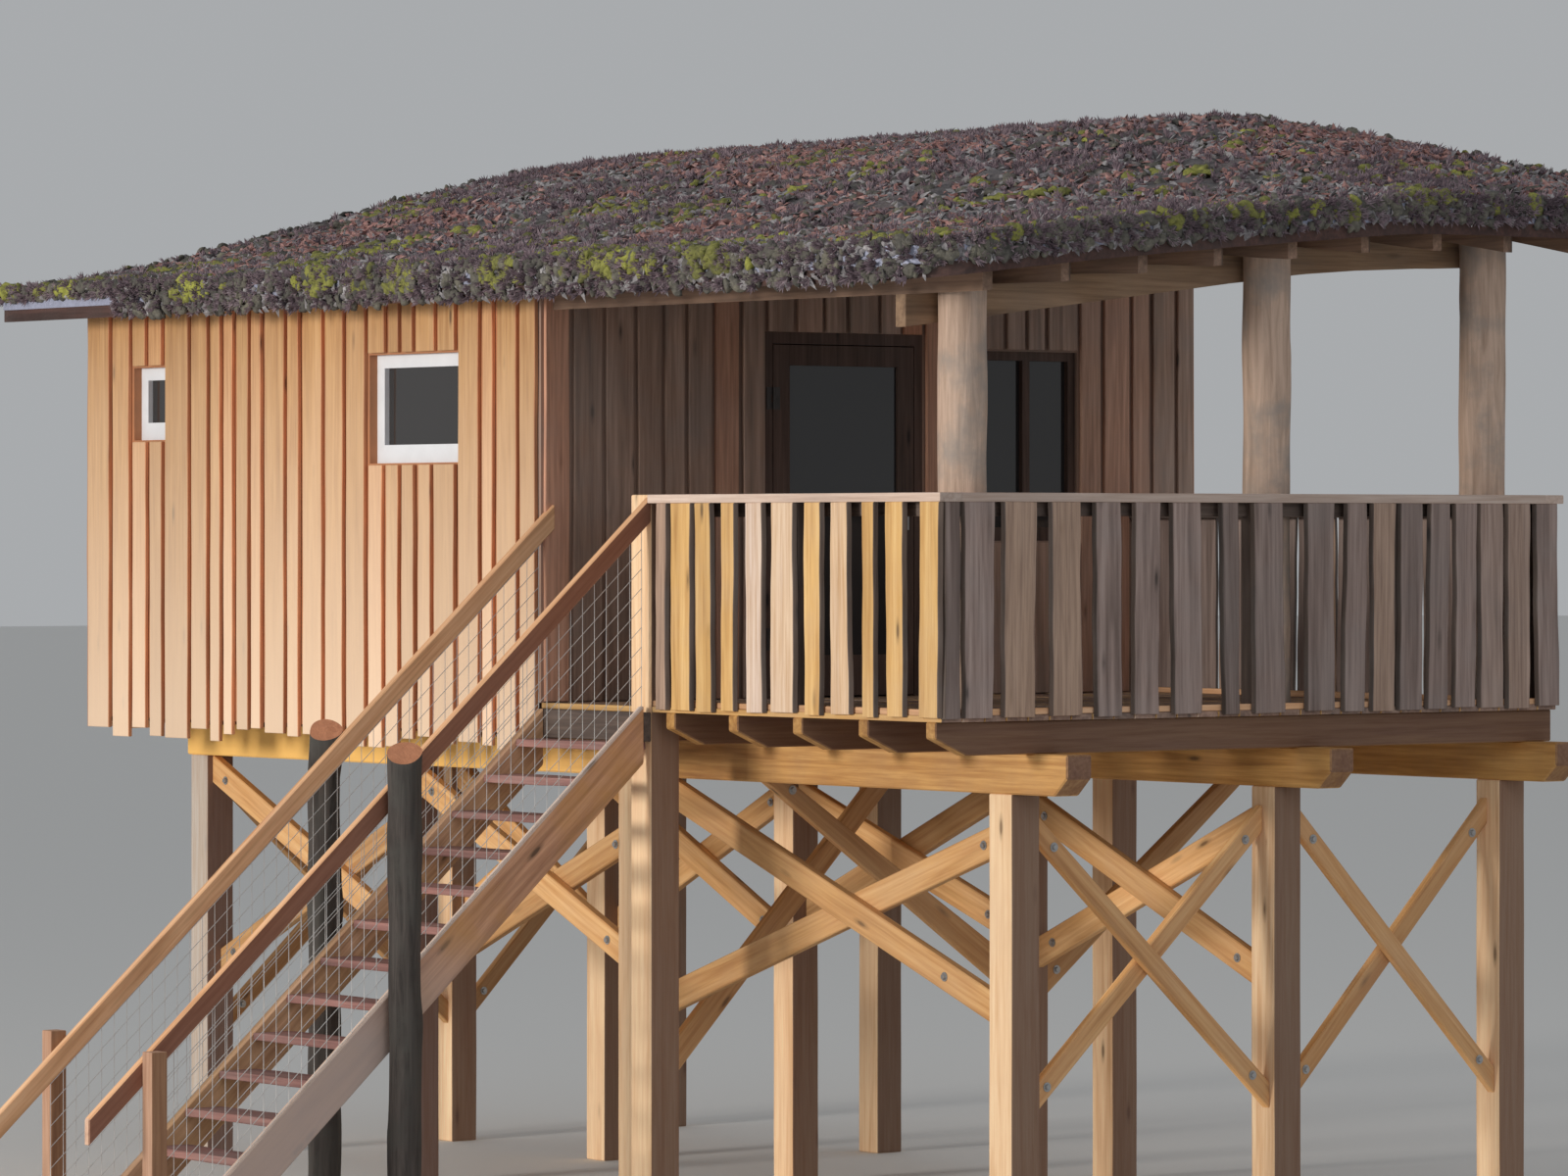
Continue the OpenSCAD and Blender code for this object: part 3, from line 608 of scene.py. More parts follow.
def block_board(pile, low, high, axis, cuts=6, wander=0.0, tone=None):
    """A board that fills a box, with its grain along one axis."""
    middle = (low + high) / 2
    size = high - low
    start, end = middle.copy(), middle.copy()
    start[axis], end[axis] = low[axis], high[axis]
    across = (axis + 1) % 3
    rest = 3 - axis - across
    direction = Vector((0, 0, 0))
    direction[across] = 1
    board(pile, CORNER + start, CORNER + end, direction, size[across], size[rest], cuts, wander, tone)


def boards_from(node, name, material, axis, cuts, wander=0.0, edge=0.008, tone_of=lambda low: None):
    """Rebuilds each solid of a node as one board with its grain along an axis."""
    pile = []
    for low, high, _ in loose_boxes(node):
        block_board(pile, low, high, axis, cuts, wander, tone_of(low))
    gather(pile, name, material, edge=edge, stands_for=[node], segments=2)


def pale_tone(low):
    """A random shade below those that make a post look odd."""
    return min(rng.random(), PALE_TONE)


def front_tone(low):
    """A pale shade, but the last of the front posts, at the closed end, is a weathered grey one."""
    tone = pale_tone(low)
    return GREY_TONE if low.y > GREY_FROM else tone


for node, tone_of in (("front_posts", front_tone), ("middle_posts", pale_tone), ("back_posts", pale_tone)):
    boards_from(node, node + "_timber", post_wood, 2, cuts=8, wander=0.002, tone_of=tone_of)
boards_from("deck_newel_post", "deck_newel_timber", post_wood, 2, cuts=8)

# %% [markdown]
# The crossed braces lie in pairs, one bar in front of the other, and beams have sloping ends.
# A box won't do for them: the timber's side view is drawn as one face and extruded to its thickness.
# The near rail and the near string take a paler wood on their upper faces, which is painted light on their
# tops, and the near rail's front face carries painted shade.

# %% Cut the beams, braces and rails
def cut_timber(pile, corners, axis, low, high, grain_axis):
    """A timber whose side view is a polygon of corners, extruded along an axis."""
    bpy.ops.mesh.primitive_plane_add(size=1)
    piece = bpy.context.object
    shape = bmesh.new()
    points = []
    for u, z in corners:
        place = Vector((0, 0, z))
        place[1 - axis] = u
        place[axis] = low
        points.append(shape.verts.new(CORNER + place))
    shape.faces.new(points)
    shape.to_mesh(piece.data)
    shape.free()
    bpy.ops.object.mode_set(mode="EDIT")
    bpy.ops.mesh.select_all(action="SELECT")
    step = [0, 0, 0]
    step[axis] = high - low
    bpy.ops.mesh.extrude_region_move(TRANSFORM_OT_translate={"value": step})
    bpy.ops.mesh.select_all(action="SELECT")
    bpy.ops.mesh.normals_make_consistent(inside=False)
    bpy.ops.object.mode_set(mode="OBJECT")
    along = Vector(grain_axis).normalized()
    side = Vector((0, 0, 0))
    side[axis] = 1
    turn = np.array((along, side, along.cross(side)))
    shift = grain_shift()
    marked(piece.data, read(piece.data) @ turn.T + shift, rng.random())
    pile.append(piece)


def hull_corners(points, axis):
    """The outline of a convex timber in the plane square to an axis, in order."""
    flat = sorted({(round(p[1 - axis], 4), round(p.z, 4)) for p in points})
    centre = (sum(p[0] for p in flat) / len(flat), sum(p[1] for p in flat) / len(flat))
    return sorted(flat, key=lambda p: math.atan2(p[1] - centre[1], p[0] - centre[0]))


def timbers_from(node, axis, material, edge=0.006):
    """Rebuilds each convex timber of a node, with its grain along its longest edge."""
    pile = []
    for low, high, points in loose_boxes(node):
        corners = hull_corners(points, axis)
        a, b = max(zip(corners, corners[1:] + corners[:1]), key=lambda q: math.dist(*q))
        along = [0, 0, b[1] - a[1]]
        along[1 - axis] = b[0] - a[0]
        cut_timber(pile, corners, axis, low[axis], high[axis], along)
    return gather(pile, node + "_timber", material, edge=edge, stands_for=[node])


timbers_from("front_beam", 0, front_beam_wood, 0.008)
for node in ("middle_beam", "back_beam"):
    timbers_from(node, 0, beam_wood, 0.008)
for node, axis in (("front_braces", 0), ("middle_braces", 0), ("side_braces", 1)):
    timbers_from(node, axis, brace_wood)
for node in ("deck_joists", "cabin_joists"):
    timbers_from(node, 1, beam_wood)
# Painted light: the upper faces of the near string and the near rail take a paler wood.
recolour(timbers_from("near_string", 1, near_string_wood), cap_wood, looks_up)
timbers_from("far_string", 1, far_string_wood)
recolour(timbers_from("near_handrail", 1, near_rail_wood), far_rail_painted_light_wood, looks_up)
timbers_from("far_handrail", 1, far_rail_painted_light_wood)

# %% [markdown]
# Floors are planks with narrow gaps, and each tread is one thick board.

# %% Lay the floors and the treads
PLANK_WIDTH = 0.137
PLANK_GAP = 0.003


def planks(low, high, skip=None):
    """Planks along Y over a rectangle. skip is a box that they stop at."""
    pile = []
    count = round((high.x - low.x) / PLANK_WIDTH)
    step = (high.x - low.x) / count
    for k in range(count):
        x0, x1 = low.x + k * step, low.x + (k + 1) * step
        spans = [(low.y, high.y)]
        if skip and x0 < skip[1].x - 0.01:
            spans = [(low.y, skip[0].y), (skip[1].y, high.y)]
        for y0, y1 in spans:
            near, far = Vector((x0 + PLANK_GAP, y0, low.z)), Vector((x1 - PLANK_GAP, y1, high.z))
            block_board(pile, near, far, 1, cuts=8, wander=0.001)
    return pile


newel_low, newel_high = loose_boxes("deck_newel_post")[0][:2]
piece = gather(planks(*local_box("deck_floor"), (newel_low, newel_high)), "deck_planks", floor_wood,
               edge=0.003, stands_for=["deck_floor"])
# Painted light: the planks' sides, of which the deck's edge on the stair side shows, take the yellow of the
# lit slabs.
recolour(piece, yellow_slabs, looks_along(0))
gather(planks(*local_box("cabin_floor")), "cabin_planks", floor_wood, edge=0.003,
       stands_for=["cabin_floor"])
boards_from("treads", "tread_boards", tread_wood, 1, cuts=6, wander=0.003, edge=0.006)
pile = []
block_board(pile, *local_box("stair_header"), 1)
# Painted shade: the stair's header is near black, for the dark gap under the deck's edge.
gather(pile, "stair_header_board", shaded_wood, stands_for=["stair_header"])
boards_from("stair_newels", "stair_newel_timber", newel_wood, 2, cuts=6, edge=0.006)

# %% [markdown]
# The railings are slabs cut through the whole log, so their edges follow the old bark line.
# The slabs hang outside two rails and end above the joists.
# Those that show best have the widths and gaps of the real ones, and chance places the others.
# On the stair side they are still yellow, and only the last one before the stair is grey.

# %% Hang the railings' slabs
rail_low, rail_high = local_box("left_railing")
RAIL_TOP = rail_high.z
CAP = 0.045
SLAB = 0.026
SLAB_FOOT = rail_low.z + 0.02
LEFT_SPANS = [(-0.02, 0.145), (0.26, 0.41), (0.49, 0.605), (0.70, 0.86), (0.93, 1.075), (1.15, 1.355),
              (1.41, 1.56), (1.65, 1.775), (1.845, 1.995), (2.02, 2.205), (2.232, 2.335)]
LEFT_TONES = [0.45, 0.6, 0.5, 0.8, 0.68, 0.82, 0.9, 0.55, 0.35, 0.62, 0.95]
RIGHT_SPANS = [(0.0, 0.11), (0.12, 0.32), (0.37, 0.585), (0.67, 0.875), (0.955, 1.13), (1.2, 1.38),
               (1.45, 1.65), (1.78, 1.90), (1.985, 2.2), (2.34, 2.54)]


def even_spans(first, last, count, share):
    """Slabs of random width over a length, as (start, end) pairs."""
    step = (last - first) / count
    spans = []
    for k in range(count):
        width = step * rng.uniform(*share)
        middle = first + (k + 0.5) * step + rng.uniform(-0.01, 0.01)
        spans.append((middle - width / 2, middle + width / 2))
    return spans


def slab_fence(name, place, out, spans, material, node, tones=None):
    """A row of upright slabs: wavy edges, the bark left on them, the outer face a little narrower."""
    pile = []
    across = out.cross(Z)
    lift = out * SLAB / 2
    for k, (u0, u1) in enumerate(spans):
        lean = rng.uniform(-0.008, 0.008)
        middle = (u0 + u1) / 2
        board(pile, place(middle - lean, SLAB_FOOT - rng.uniform(0, 0.015)) + lift,
              place(middle + lean, RAIL_TOP - CAP) + lift, across, u1 - u0, SLAB,
              cuts=14, wander=0.008, tone=tones[k] if tones else None, wane=0.009)
    piece = gather(pile, name, material, edge=0.003, stands_for=[node])
    recolour(piece, bark_rim, lambda p: abs(p.normal.dot(across)) > 0.5)
    return piece


piece = slab_fence("left_slabs", lambda u, z: at(0, u, z), -X, LEFT_SPANS, yellow_slabs, "left_railing",
                   LEFT_TONES)
grey_from = CORNER.y + LEFT_SPANS[-1][0] - 0.02
recolour(piece, grey_slabs, lambda p: p.material_index == 0 and p.center.y > grey_from)
right_spans = RIGHT_SPANS + even_spans(RIGHT_SPANS[-1][1] + 0.04, deck_end.x, 8, (0.75, 0.93))
slab_fence("right_slabs", lambda u, z: at(u, 0, z), -Y, right_spans, grey_slabs, "right_railing")
slab_fence("end_slabs", lambda u, z: at(deck_end.x, u, z), X, even_spans(0.05, deck_end.y, 20, (0.8, 0.93)),
           grey_slabs, "end_railing")

# %% [markdown]
# Behind the slabs stand small posts with a rail near their top and one on the floor.
# A wide board lies on top of each railing, to lean on and to keep rain off the slabs' ends.

# %% Add rails and the board on top
TOP_RAIL, FOOT_RAIL = 0.07, 0.032
RAIL_THICK = 0.045
SMALL_POST = 0.09
CAP_WIDTH = 0.145


def rail_set(name, place, inward, length, posts_at, start=0.0):
    """Two rails and small posts behind a row of slabs, and a separate board on top."""
    pile = []
    rails = ((RAIL_TOP - CAP - TOP_RAIL / 2, TOP_RAIL, 0.07), (FLOOR + FOOT_RAIL / 2, FOOT_RAIL, 0.03))
    for z, height, depth in rails:
        lift = inward * depth
        board(pile, place(start, z) + lift, place(length, z) + lift, Z, height, RAIL_THICK,
              cuts=10, wander=0.002)
    lift = inward * 0.05
    for u in posts_at:
        board(pile, place(u, FLOOR) + lift, place(u, RAIL_TOP - CAP) + lift, inward, SMALL_POST, SMALL_POST,
              cuts=4)
    piece = gather(pile, name, rail_wood, edge=0.005, segments=2)
    # Painted shade: the top rail and the small posts behind the slabs are near black.
    recolour(piece, shaded_wood, lambda p: p.center.z > FLOOR + 0.05)
    pile = []
    lift = inward * 0.045
    z = RAIL_TOP - CAP / 2
    board(pile, place(start - 0.03, z) + lift, place(length, z) + lift, inward, CAP_WIDTH, CAP,
          cuts=10, wander=0.004)
    gather(pile, name + "_cap", cap_wood, edge=0.005, segments=2)


rail_set("left_rails", lambda u, z: at(0, u, z), X, newel_low.y - 0.002, [1.2])
rail_set("right_rails", lambda u, z: at(u, 0, z), Y, deck_end.x - 0.1, [1.1, 2.05, 3.0], 0.12)
rail_set("end_rails", lambda u, z: at(deck_end.x, u, z), -X, deck_end.y - 0.002, [0.06, 1.2, 2.3])

# %% [markdown]
# The roof's posts are peeled logs, and two more logs that keep their bark stand beside the stair,
# their tops sawn at a slant.
# A log is a cylinder with rings of cuts, pushed in and out a little by smooth noise.

# %% Turn the logs
SIDES = 32
RING = 0.05
SLANT = Vector((0.38, 0.50, 0))
SLANT_REACH = 0.3
KNOBS = 0.03
SKIN = 0.004


def log_material(name, pale, dark, patch, rough):
    """Peeled wood, bark or sawn ends: long streaks, with patches of another colour."""
    finish = Finish(name)
    place = finish.add("TexCoord", "Object")
    streaks = finish.cloud(finish.stretch(place, (30, 30, 2.2)), 1, 6, 0.6, 0.6)
    patches = finish.ramp(finish.cloud(place, 3.2, 5, 0.6), (0.46, BLACK), (0.66, WHITE))
    body = finish.mix(patches, finish.ramp(streaks, (0.3, dark), (0.62, pale)), patch)
    return finish.close(body, rough, height=streaks, strength=0.6, distance=0.01)


def turn_log(pile, middle, radius, low, high, rough, slant):
    """Adds a log with a wavy skin to a pile. slant is the slope of its top, along X and Y."""
    bpy.ops.mesh.primitive_cylinder_add(vertices=SIDES, radius=radius, depth=high - low,
                                        location=at(middle.x, middle.y, (low + high) / 2))
    piece = bpy.context.object
    bpy.ops.object.transform_apply(location=True, rotation=True, scale=True)
    cut_along(piece, 2, int((high - low) / RING))
    centre = at(middle.x, middle.y, 0)
    for vertex in piece.data.vertices:
        x, y, z = vertex.co
        away = vertex.co - centre
        away.z = 0
        if away.length > radius * 0.5:
            push = rough * noise.noise(Vector((x * 9, y * 9, z * 2.5)))
            push += KNOBS * max(0, noise.noise(Vector((x * 5 + 9, y * 5, z * 3.0))) - 0.25)
            vertex.co += away.normalized() * push
        vertex.co.z += slant.dot(away) * max(0, 1 - (high - vertex.co.z) / SLANT_REACH)
    pile.append(piece)


def logs_from(node, name, material, foot, rough, slant=Vector()):
    """Rebuilds each round solid of a node as a log."""
    pile = []
    for low, high, _ in loose_boxes(node):
        turn_log(pile, (low + high) / 2, (high.x - low.x) / 2 - SKIN, foot, high.z, rough, slant)
    piece = gather(pile, name, material, edge=0, stands_for=[node])
    for polygon in piece.data.polygons:
        polygon.use_smooth = abs(polygon.normal.z) < 0.7
    return piece


peeled = log_material("peeled_log", (0.60, 0.43, 0.33), (0.38, 0.26, 0.19), (0.34, 0.28, 0.24), 0.7)
bark = log_material("bark_log", (0.078, 0.065, 0.058), (0.024, 0.02, 0.018), (0.064, 0.06, 0.053), 0.95)
sawn_end = log_material("sawn_end", (0.62, 0.27, 0.14), (0.46, 0.18, 0.09), (0.50, 0.21, 0.11), 0.8)
trim_to_roof(logs_from("roof_posts", "peeled_logs", peeled, FLOOR, 0.008), 0.0)
piece = logs_from("stair_log_posts", "bark_logs", bark, 0, 0.016, SLANT)
recolour(piece, sawn_end, lambda p: p.normal.z > 0.7 and p.area > 0.01)

# %% [markdown]
# Wire netting closes the stair's sides. One family of its wires hangs upright and the other
# follows the slope, so a flat grid is pushed up along the stair and its edges become thin wires.

# %% Weave the netting
WIRE_STEP = 0.074
WIRE_RISE = 0.1
WIRE_THICK = 0.004
galvanised = Finish("galvanised_wire").close((0.66, 0.64, 0.62), 0.55, 0.5)


def netting(node, name):
    """A sheet of wires in place of a node's thicker ones."""
    low, high, points = loose_boxes(node)[0]
    left = [p.z for p in points if p.x < low.x + 0.001]
    right = [p.z for p in points if p.x > high.x - 0.001]
    length, height = high.x - low.x, max(left) - min(left)
    slope = (min(right) - min(left)) / length
    bpy.ops.mesh.primitive_grid_add(x_subdivisions=round(length / WIRE_STEP),
                                    y_subdivisions=round(height / WIRE_RISE), size=1)
    piece = bpy.context.object
    share = read(piece.data) + (0.5, 0.5, 0)
    place = np.zeros_like(share)
    place[:, 0] = low.x + share[:, 0] * length
    place[:, 1] = (low.y + high.y) / 2
    place[:, 2] = min(left) + share[:, 0] * length * slope + share[:, 1] * height
    piece.data.vertices.foreach_set("co", (place + np.array(CORNER)).ravel())
    wire = piece.modifiers.new("wire", "WIREFRAME")
    wire.thickness = WIRE_THICK
    wire.use_boundary = True
    bpy.ops.object.modifier_apply(modifier=wire.name)
    piece.name = name
    piece.data.materials.append(galvanised)
    finish_piece(piece, [node])


netting("near_netting", "near_wire")
netting("far_netting", "far_wire")

# %% [markdown]
# The planted roof is a bed of soil with moss, stonecrop and fallen leaves on it.
# Seen close, each of them has a few colours in patches and many small dark specks between its leaves.

# %% Mix the colours of the plants
def plant_material(name, scale, stops, bump=0.5):
    """Patches of a few colours with small dark specks."""
    finish = Finish(name)
    place = finish.add("TexCoord", "Object")
    patches = finish.ramp(finish.cloud(place, scale, 8, 0.7), *stops)
    fine = finish.cloud(place, 38, 4, 0.7)
    body = finish.mix(0.7, patches, finish.ramp(fine, (0.32, GREY), (0.62, WHITE)), "MULTIPLY")
    return finish.close(body, 0.95, height=fine, strength=bump, distance=0.03)


def three(dark, middle, light):
    """Even stops for three colours."""
    return (0.35, dark), (0.5, middle), (0.65, light)


soil = plant_material("roof_soil", 1.6, (
    (0.3, (0.10, 0.09, 0.095)), (0.45, (0.16, 0.145, 0.15)), (0.52, (0.20, 0.165, 0.17)),
    (0.6, (0.13, 0.125, 0.105)), (0.7, (0.19, 0.18, 0.135))))
moss = plant_material("roof_moss", 2.5, three((0.13, 0.13, 0.055), (0.27, 0.27, 0.07), (0.45, 0.46, 0.09)))
dull_moss = plant_material("dull_moss", 3.5, three(
    (0.08, 0.077, 0.07), (0.15, 0.14, 0.12), (0.24, 0.225, 0.17)))
stonecrop = plant_material("roof_stonecrop", 3.0, three(
    (0.14, 0.105, 0.125), (0.27, 0.195, 0.225), (0.38, 0.30, 0.33)))
rust_leaves = plant_material("rust_leaves", 9.0, three(
    (0.21, 0.11, 0.11), (0.43, 0.22, 0.20), (0.60, 0.38, 0.34)), 0.2)
grey_leaves = plant_material("grey_leaves", 9.0, three(
    (0.18, 0.17, 0.18), (0.34, 0.32, 0.33), (0.50, 0.48, 0.49)), 0.2)
print("plant materials", [m.name for m in (soil, moss, dull_moss, stonecrop, rust_leaves, grey_leaves)])

# %% [markdown]
# Soil is never flat. The bed is the frame's own slab, remeshed finely and pushed up and down
# by noise of three sizes: broad humps, clods and crumbs.

# %% Grow the bed
BED_CELL = 0.045


def copied(node, name):
    """A loose copy of a node, with its doubled points merged."""
    piece = nodes[node].copy()
    piece.data = nodes[node].data.copy()
    piece.parent = None
    for key in list(piece.keys()):
        del piece[key]
    piece.name = name
    bpy.context.scene.collection.objects.link(piece)
    select_only(piece)
    bpy.ops.object.mode_set(mode="EDIT")
    bpy.ops.mesh.select_all(action="SELECT")
    bpy.ops.mesh.remove_doubles(threshold=0.0001)
    bpy.ops.object.mode_set(mode="OBJECT")
    piece.data.materials.clear()
    return piece


bed = copied("green_roof", "planting_bed")
fine = bed.modifiers.new("fine", "REMESH")
fine.mode = "VOXEL"
fine.voxel_size = BED_CELL
bpy.ops.object.modifier_apply(modifier=fine.name)
mesh = bed.data
points = read(mesh)
normals = np.array([v.normal[:] for v in mesh.vertices])
for k, (point, normal) in enumerate(zip(points, normals)):
    if normal[2] > -0.2:
        place = Vector(point)
        push = 0.03 * noise.noise(place * 2.1) + 0.025 * noise.noise(place * 7)
        push += 0.015 * noise.noise(place * 19)
        points[k] += normal * (push + 0.002)
mesh.vertices.foreach_set("co", points.ravel())
mesh.materials.append(soil)
for polygon in mesh.polygons:
    polygon.use_smooth = True
finish_piece(bed, ["green_roof"])

# %% [markdown]
# Each plant is modelled once with a few faces, and thousands of copies are set on the bed.
# A cushion of moss is half a ball, a sprig of stonecrop is a few stubby leaves in a ring,
# and a fallen leaf is a low tent with four corners.

# %% Model the plants
def low_ball(seed):
    """Half a rough ball, flat side down."""
    bpy.ops.mesh.primitive_ico_sphere_add(subdivisions=2, radius=1)
    ball = bpy.context.object
    bpy.ops.object.mode_set(mode="EDIT")
    bpy.ops.mesh.select_all(action="SELECT")
    bpy.ops.mesh.bisect(plane_co=(0, 0, -0.25), plane_no=(0, 0, -1), clear_outer=True, use_fill=True)
    bpy.ops.mesh.select_all(action="SELECT")
    bpy.ops.transform.vertex_random(offset=0.3, uniform=0.0, normal=1.0, seed=seed)
    bpy.ops.object.mode_set(mode="OBJECT")
    return taken(ball)


def leaf_ring(count, length, width):
    """Stubby leaves round one point: three-sided cones that lean outwards."""
    pile = []
    for k in range(count):
        turn, lean = k * 2.4, 0.35 + 0.3 * (k % 3)
        side = math.sin(lean)
        tip = Vector((side * math.cos(turn), side * math.sin(turn), math.cos(lean)))
        bpy.ops.mesh.primitive_cone_add(vertices=3, radius1=width, depth=length,
                                        location=tip * length / 2, rotation=(0, lean, turn))
        pile.append(bpy.context.object)
    select_only(*reversed(pile))
    bpy.ops.object.join()
    return taken(bpy.context.object)


def fallen_leaf():
    """A low tent with four corners, longer than it is wide and a little crumpled."""
    bpy.ops.mesh.primitive_cone_add(vertices=4, radius1=1, depth=0.35)
    piece = bpy.context.object
    piece.scale = (1, 0.6, 1)
    bpy.ops.object.mode_set(mode="EDIT")
    bpy.ops.transform.vertex_random(offset=0.15, seed=2)
    bpy.ops.object.mode_set(mode="OBJECT")
    return taken(piece)


cushion, tuft, leaf = low_ball(3), leaf_ring(7, 0.9, 0.2), fallen_leaf()
for name, mesh in (("cushion", cushion), ("tuft", tuft), ("leaf", leaf)):
    print(name, len(mesh.polygons))

# %% [markdown]
# Chance decides where plants grow: moss keeps to clumps and to the wet low edge,
# leaves gather higher up, and the edge on the stair side is overgrown except at its far end.

# %% Scatter the plants
plant_low, plant_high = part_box("green_roof")
ROOF_SPAN = plant_high - plant_low
MOSSY = [(1.4, 0.22), (2.2, 0.32), (3.2, 0.13), (4.1, 0.14), (4.5, 0.1), (4.9, 0.14), (6.2, 0.15), (7.9, 0.4)]


def on_roof(x, y):
    """The bed's surface and its slope under a point."""
    hit, normal, _, _ = plant_tree.ray_cast(Vector((x, y, SKY)), -Z)
    return hit, normal


def scatter(name, sample, places, material, smooth=True):
    """Joins many turned and scaled copies of a sample mesh into one piece."""
    base = read(sample)
    faces = [tuple(p.vertices) for p in sample.polygons]
    count = len(base)
    points = np.empty((count * len(places), 3))
    loops = []
    for k, (place, turn, size) in enumerate(places):
        points[k * count:(k + 1) * count] = (base * size) @ np.array(turn).T + np.array(place)
        loops += [tuple(v + k * count for v in face) for face in faces]
    mesh = bpy.data.meshes.new(name)
    mesh.from_pydata(points.tolist(), [], loops)
    mesh.materials.append(material)
    piece = bpy.data.objects.new(name, mesh)
    bpy.context.scene.collection.objects.link(piece)
    for polygon in mesh.polygons:
        polygon.use_smooth = smooth
    finish_piece(piece)


def upright(direction):
    """The turn that sets a plant's own Z along a direction."""
    return direction.to_track_quat("Z", "Y").to_matrix()


def spots(count, chance, sizes, flat, lift=0.0, tip=0.35):
    """Places for plants: chance(u, v) says how likely one is at a share of the roof."""
    found = []
    while len(found) < count:
        u, v = rng.random(), rng.random()
        if rng.random() > chance(u, v):
            continue
        hit, normal = on_roof(plant_low.x + u * ROOF_SPAN.x, plant_low.y + v * ROOF_SPAN.y)
        if hit is None:
            continue
        size = rng.uniform(*sizes)
        lean = Vector((rng.gauss(0, tip), rng.gauss(0, tip), 0))
        tilt = upright(normal + lean) @ Matrix.Rotation(rng.uniform(0, TURN), 3, "Z")
        scale = (size * rng.uniform(0.8, 1.5), size, size * flat * rng.uniform(0.7, 1.3))
        found.append((hit + normal * lift, tilt, np.array(scale)))
    return found


def clump(u, v, scale, seed):
    """Smooth noise over the roof that gathers plants in clumps, from 0 to 1."""
    value = noise.noise(Vector((u * ROOF_SPAN.x * scale, v * ROOF_SPAN.y * scale, seed)))
    return max(0.0, min(1.0, (value - 0.05) * 3.2))


def mossy(y):
    """How thick the bright moss grows at a distance along the low edge.

    MOSSY holds the middle and the half length of each mossy stretch.
    """
    return max(math.exp(-((y - middle) / half) ** 2) for middle, half in MOSSY)


def moss_chance(u, v):
    """Bright moss: along the low edge where it is wet, and in clumps that thin out higher up."""
    near_edge = 0.5 * math.exp(-u * 20) * mossy(plant_low.y + v * ROOF_SPAN.y - CORNER.y)
    return near_edge + (0.08 + 0.5 * math.exp(-u * 3.5)) * clump(u, v, 1.3, 4.0)


def dull_chance(u, v):
    """Dull moss: between the clumps of bright moss, and less of it higher up."""
    return (0.35 + 0.65 * math.exp(-u * 3)) * (1 - clump(u, v, 1.5, 4.0))


def rust_chance(u, v):
    """Rust-red leaves: in drifts, most of them higher up."""
    return (0.2 + 0.8 * clump(u, v, 0.7, 17.0)) * (0.35 + 0.65 * u)


scatter("moss_cushions", cushion, spots(1600, moss_chance, (0.015, 0.045), 0.8, 0.005), moss)
scatter("dull_cushions", cushion, spots(1500, dull_chance, (0.015, 0.045), 0.7, 0.005), dull_moss)
scatter("stonecrop_sprigs", tuft, spots(
    4500, lambda u, v: 0.25 + 0.75 * clump(u, v, 0.9, 9.0), (0.03, 0.06), 1.0, 0.01), stonecrop, False)
scatter("rust_litter", leaf, spots(7500, rust_chance, (0.02, 0.045), 1.0, 0.02, 0.6), rust_leaves, False)
scatter("grey_litter", leaf, spots(
    6000, lambda u, v: 0.3 + 0.7 * clump(u, v, 0.8, 23.0), (0.02, 0.045), 1.0, 0.02, 0.6), grey_leaves, False)

# %% [markdown]
# Round the roof the plants grow over the metal strip and hang down, most of all on the stair side.
# The rim is found by walking outwards from the roof's middle until there is no bed underfoot.
# The far end of the low edge is nearly clean, so the metal shows there.

# %% Let the plants hang over the rim
RIM_POINTS = 360
HALVINGS = 18
STRIP_OUT = 0.037


def walk_rim(count):
    """Points round the edge of the bed, in order."""
    centre = (plant_low + plant_high) / 2
    rim = []
    for k in range(count):
        way = Matrix.Rotation(math.tau * k / count, 3, "Z") @ X
        near, far = 0.0, ROOF_SPAN.length
        for _ in range(HALVINGS):
            reach = (near + far) / 2
            spot = centre + way * reach
            near, far = (reach, far) if on_roof(spot.x, spot.y)[0] else (near, reach)
        spot = centre + way * near
        rim.append(on_roof(spot.x, spot.y)[0])
    return rim


RIM = walk_rim(RIM_POINTS)
STEPS = [(b - a).length for a, b in zip(RIM, RIM[1:] + RIM[:1])]
print("rim", round(sum(STEPS), 2))


def hang(place, out):
    """How far the plants hang down at a place on the rim."""
    if out.x < -0.7:
        return 0.19 if place.y < plant_high.y - 1.5 else 0.062
    return 0.13 if out.y < -0.4 else 0.08


def rim_spots(count, sizes, flat=0.8, share=1.0, chance=lambda place: 1.0):
    """Places over the rim: most at its top, fewer lower down, to a share of the full hang."""
    found = []
    while len(found) < count:
        k = rng.choices(range(RIM_POINTS), STEPS)[0]
        first, second = RIM[k], RIM[(k + 1) % RIM_POINTS]
        place = first.lerp(second, rng.random())
        out = (second - first).cross(Z).normalized()
        drop = hang(place, out) * share
        side = 1.0 if out.x < -0.3 or out.y < -0.3 else 0.45
        if rng.random() > side * min(1.0, drop / 0.1) * chance(place):
            continue
        down = drop * rng.random() ** 1.5
        tilt = upright(out + Vector((rng.gauss(0, 0.3), rng.gauss(0, 0.3), 0.5 - down / drop)))
        size = rng.uniform(*sizes)
        spot = place + out * (STRIP_OUT + 0.012 * rng.random()) + Z * (0.01 - down)
        turn = tilt @ Matrix.Rotation(rng.uniform(0, TURN), 3, "Z")
        found.append((spot, turn, np.array((size * rng.uniform(0.8, 1.5), size, size * flat))))
    return found


def rim_moss_chance(place):
    """Bright moss hangs over the stair side's edge in its own stretches, and thinly elsewhere."""
    return mossy(place.y - CORNER.y) if place.x < CORNER.x else 0.15


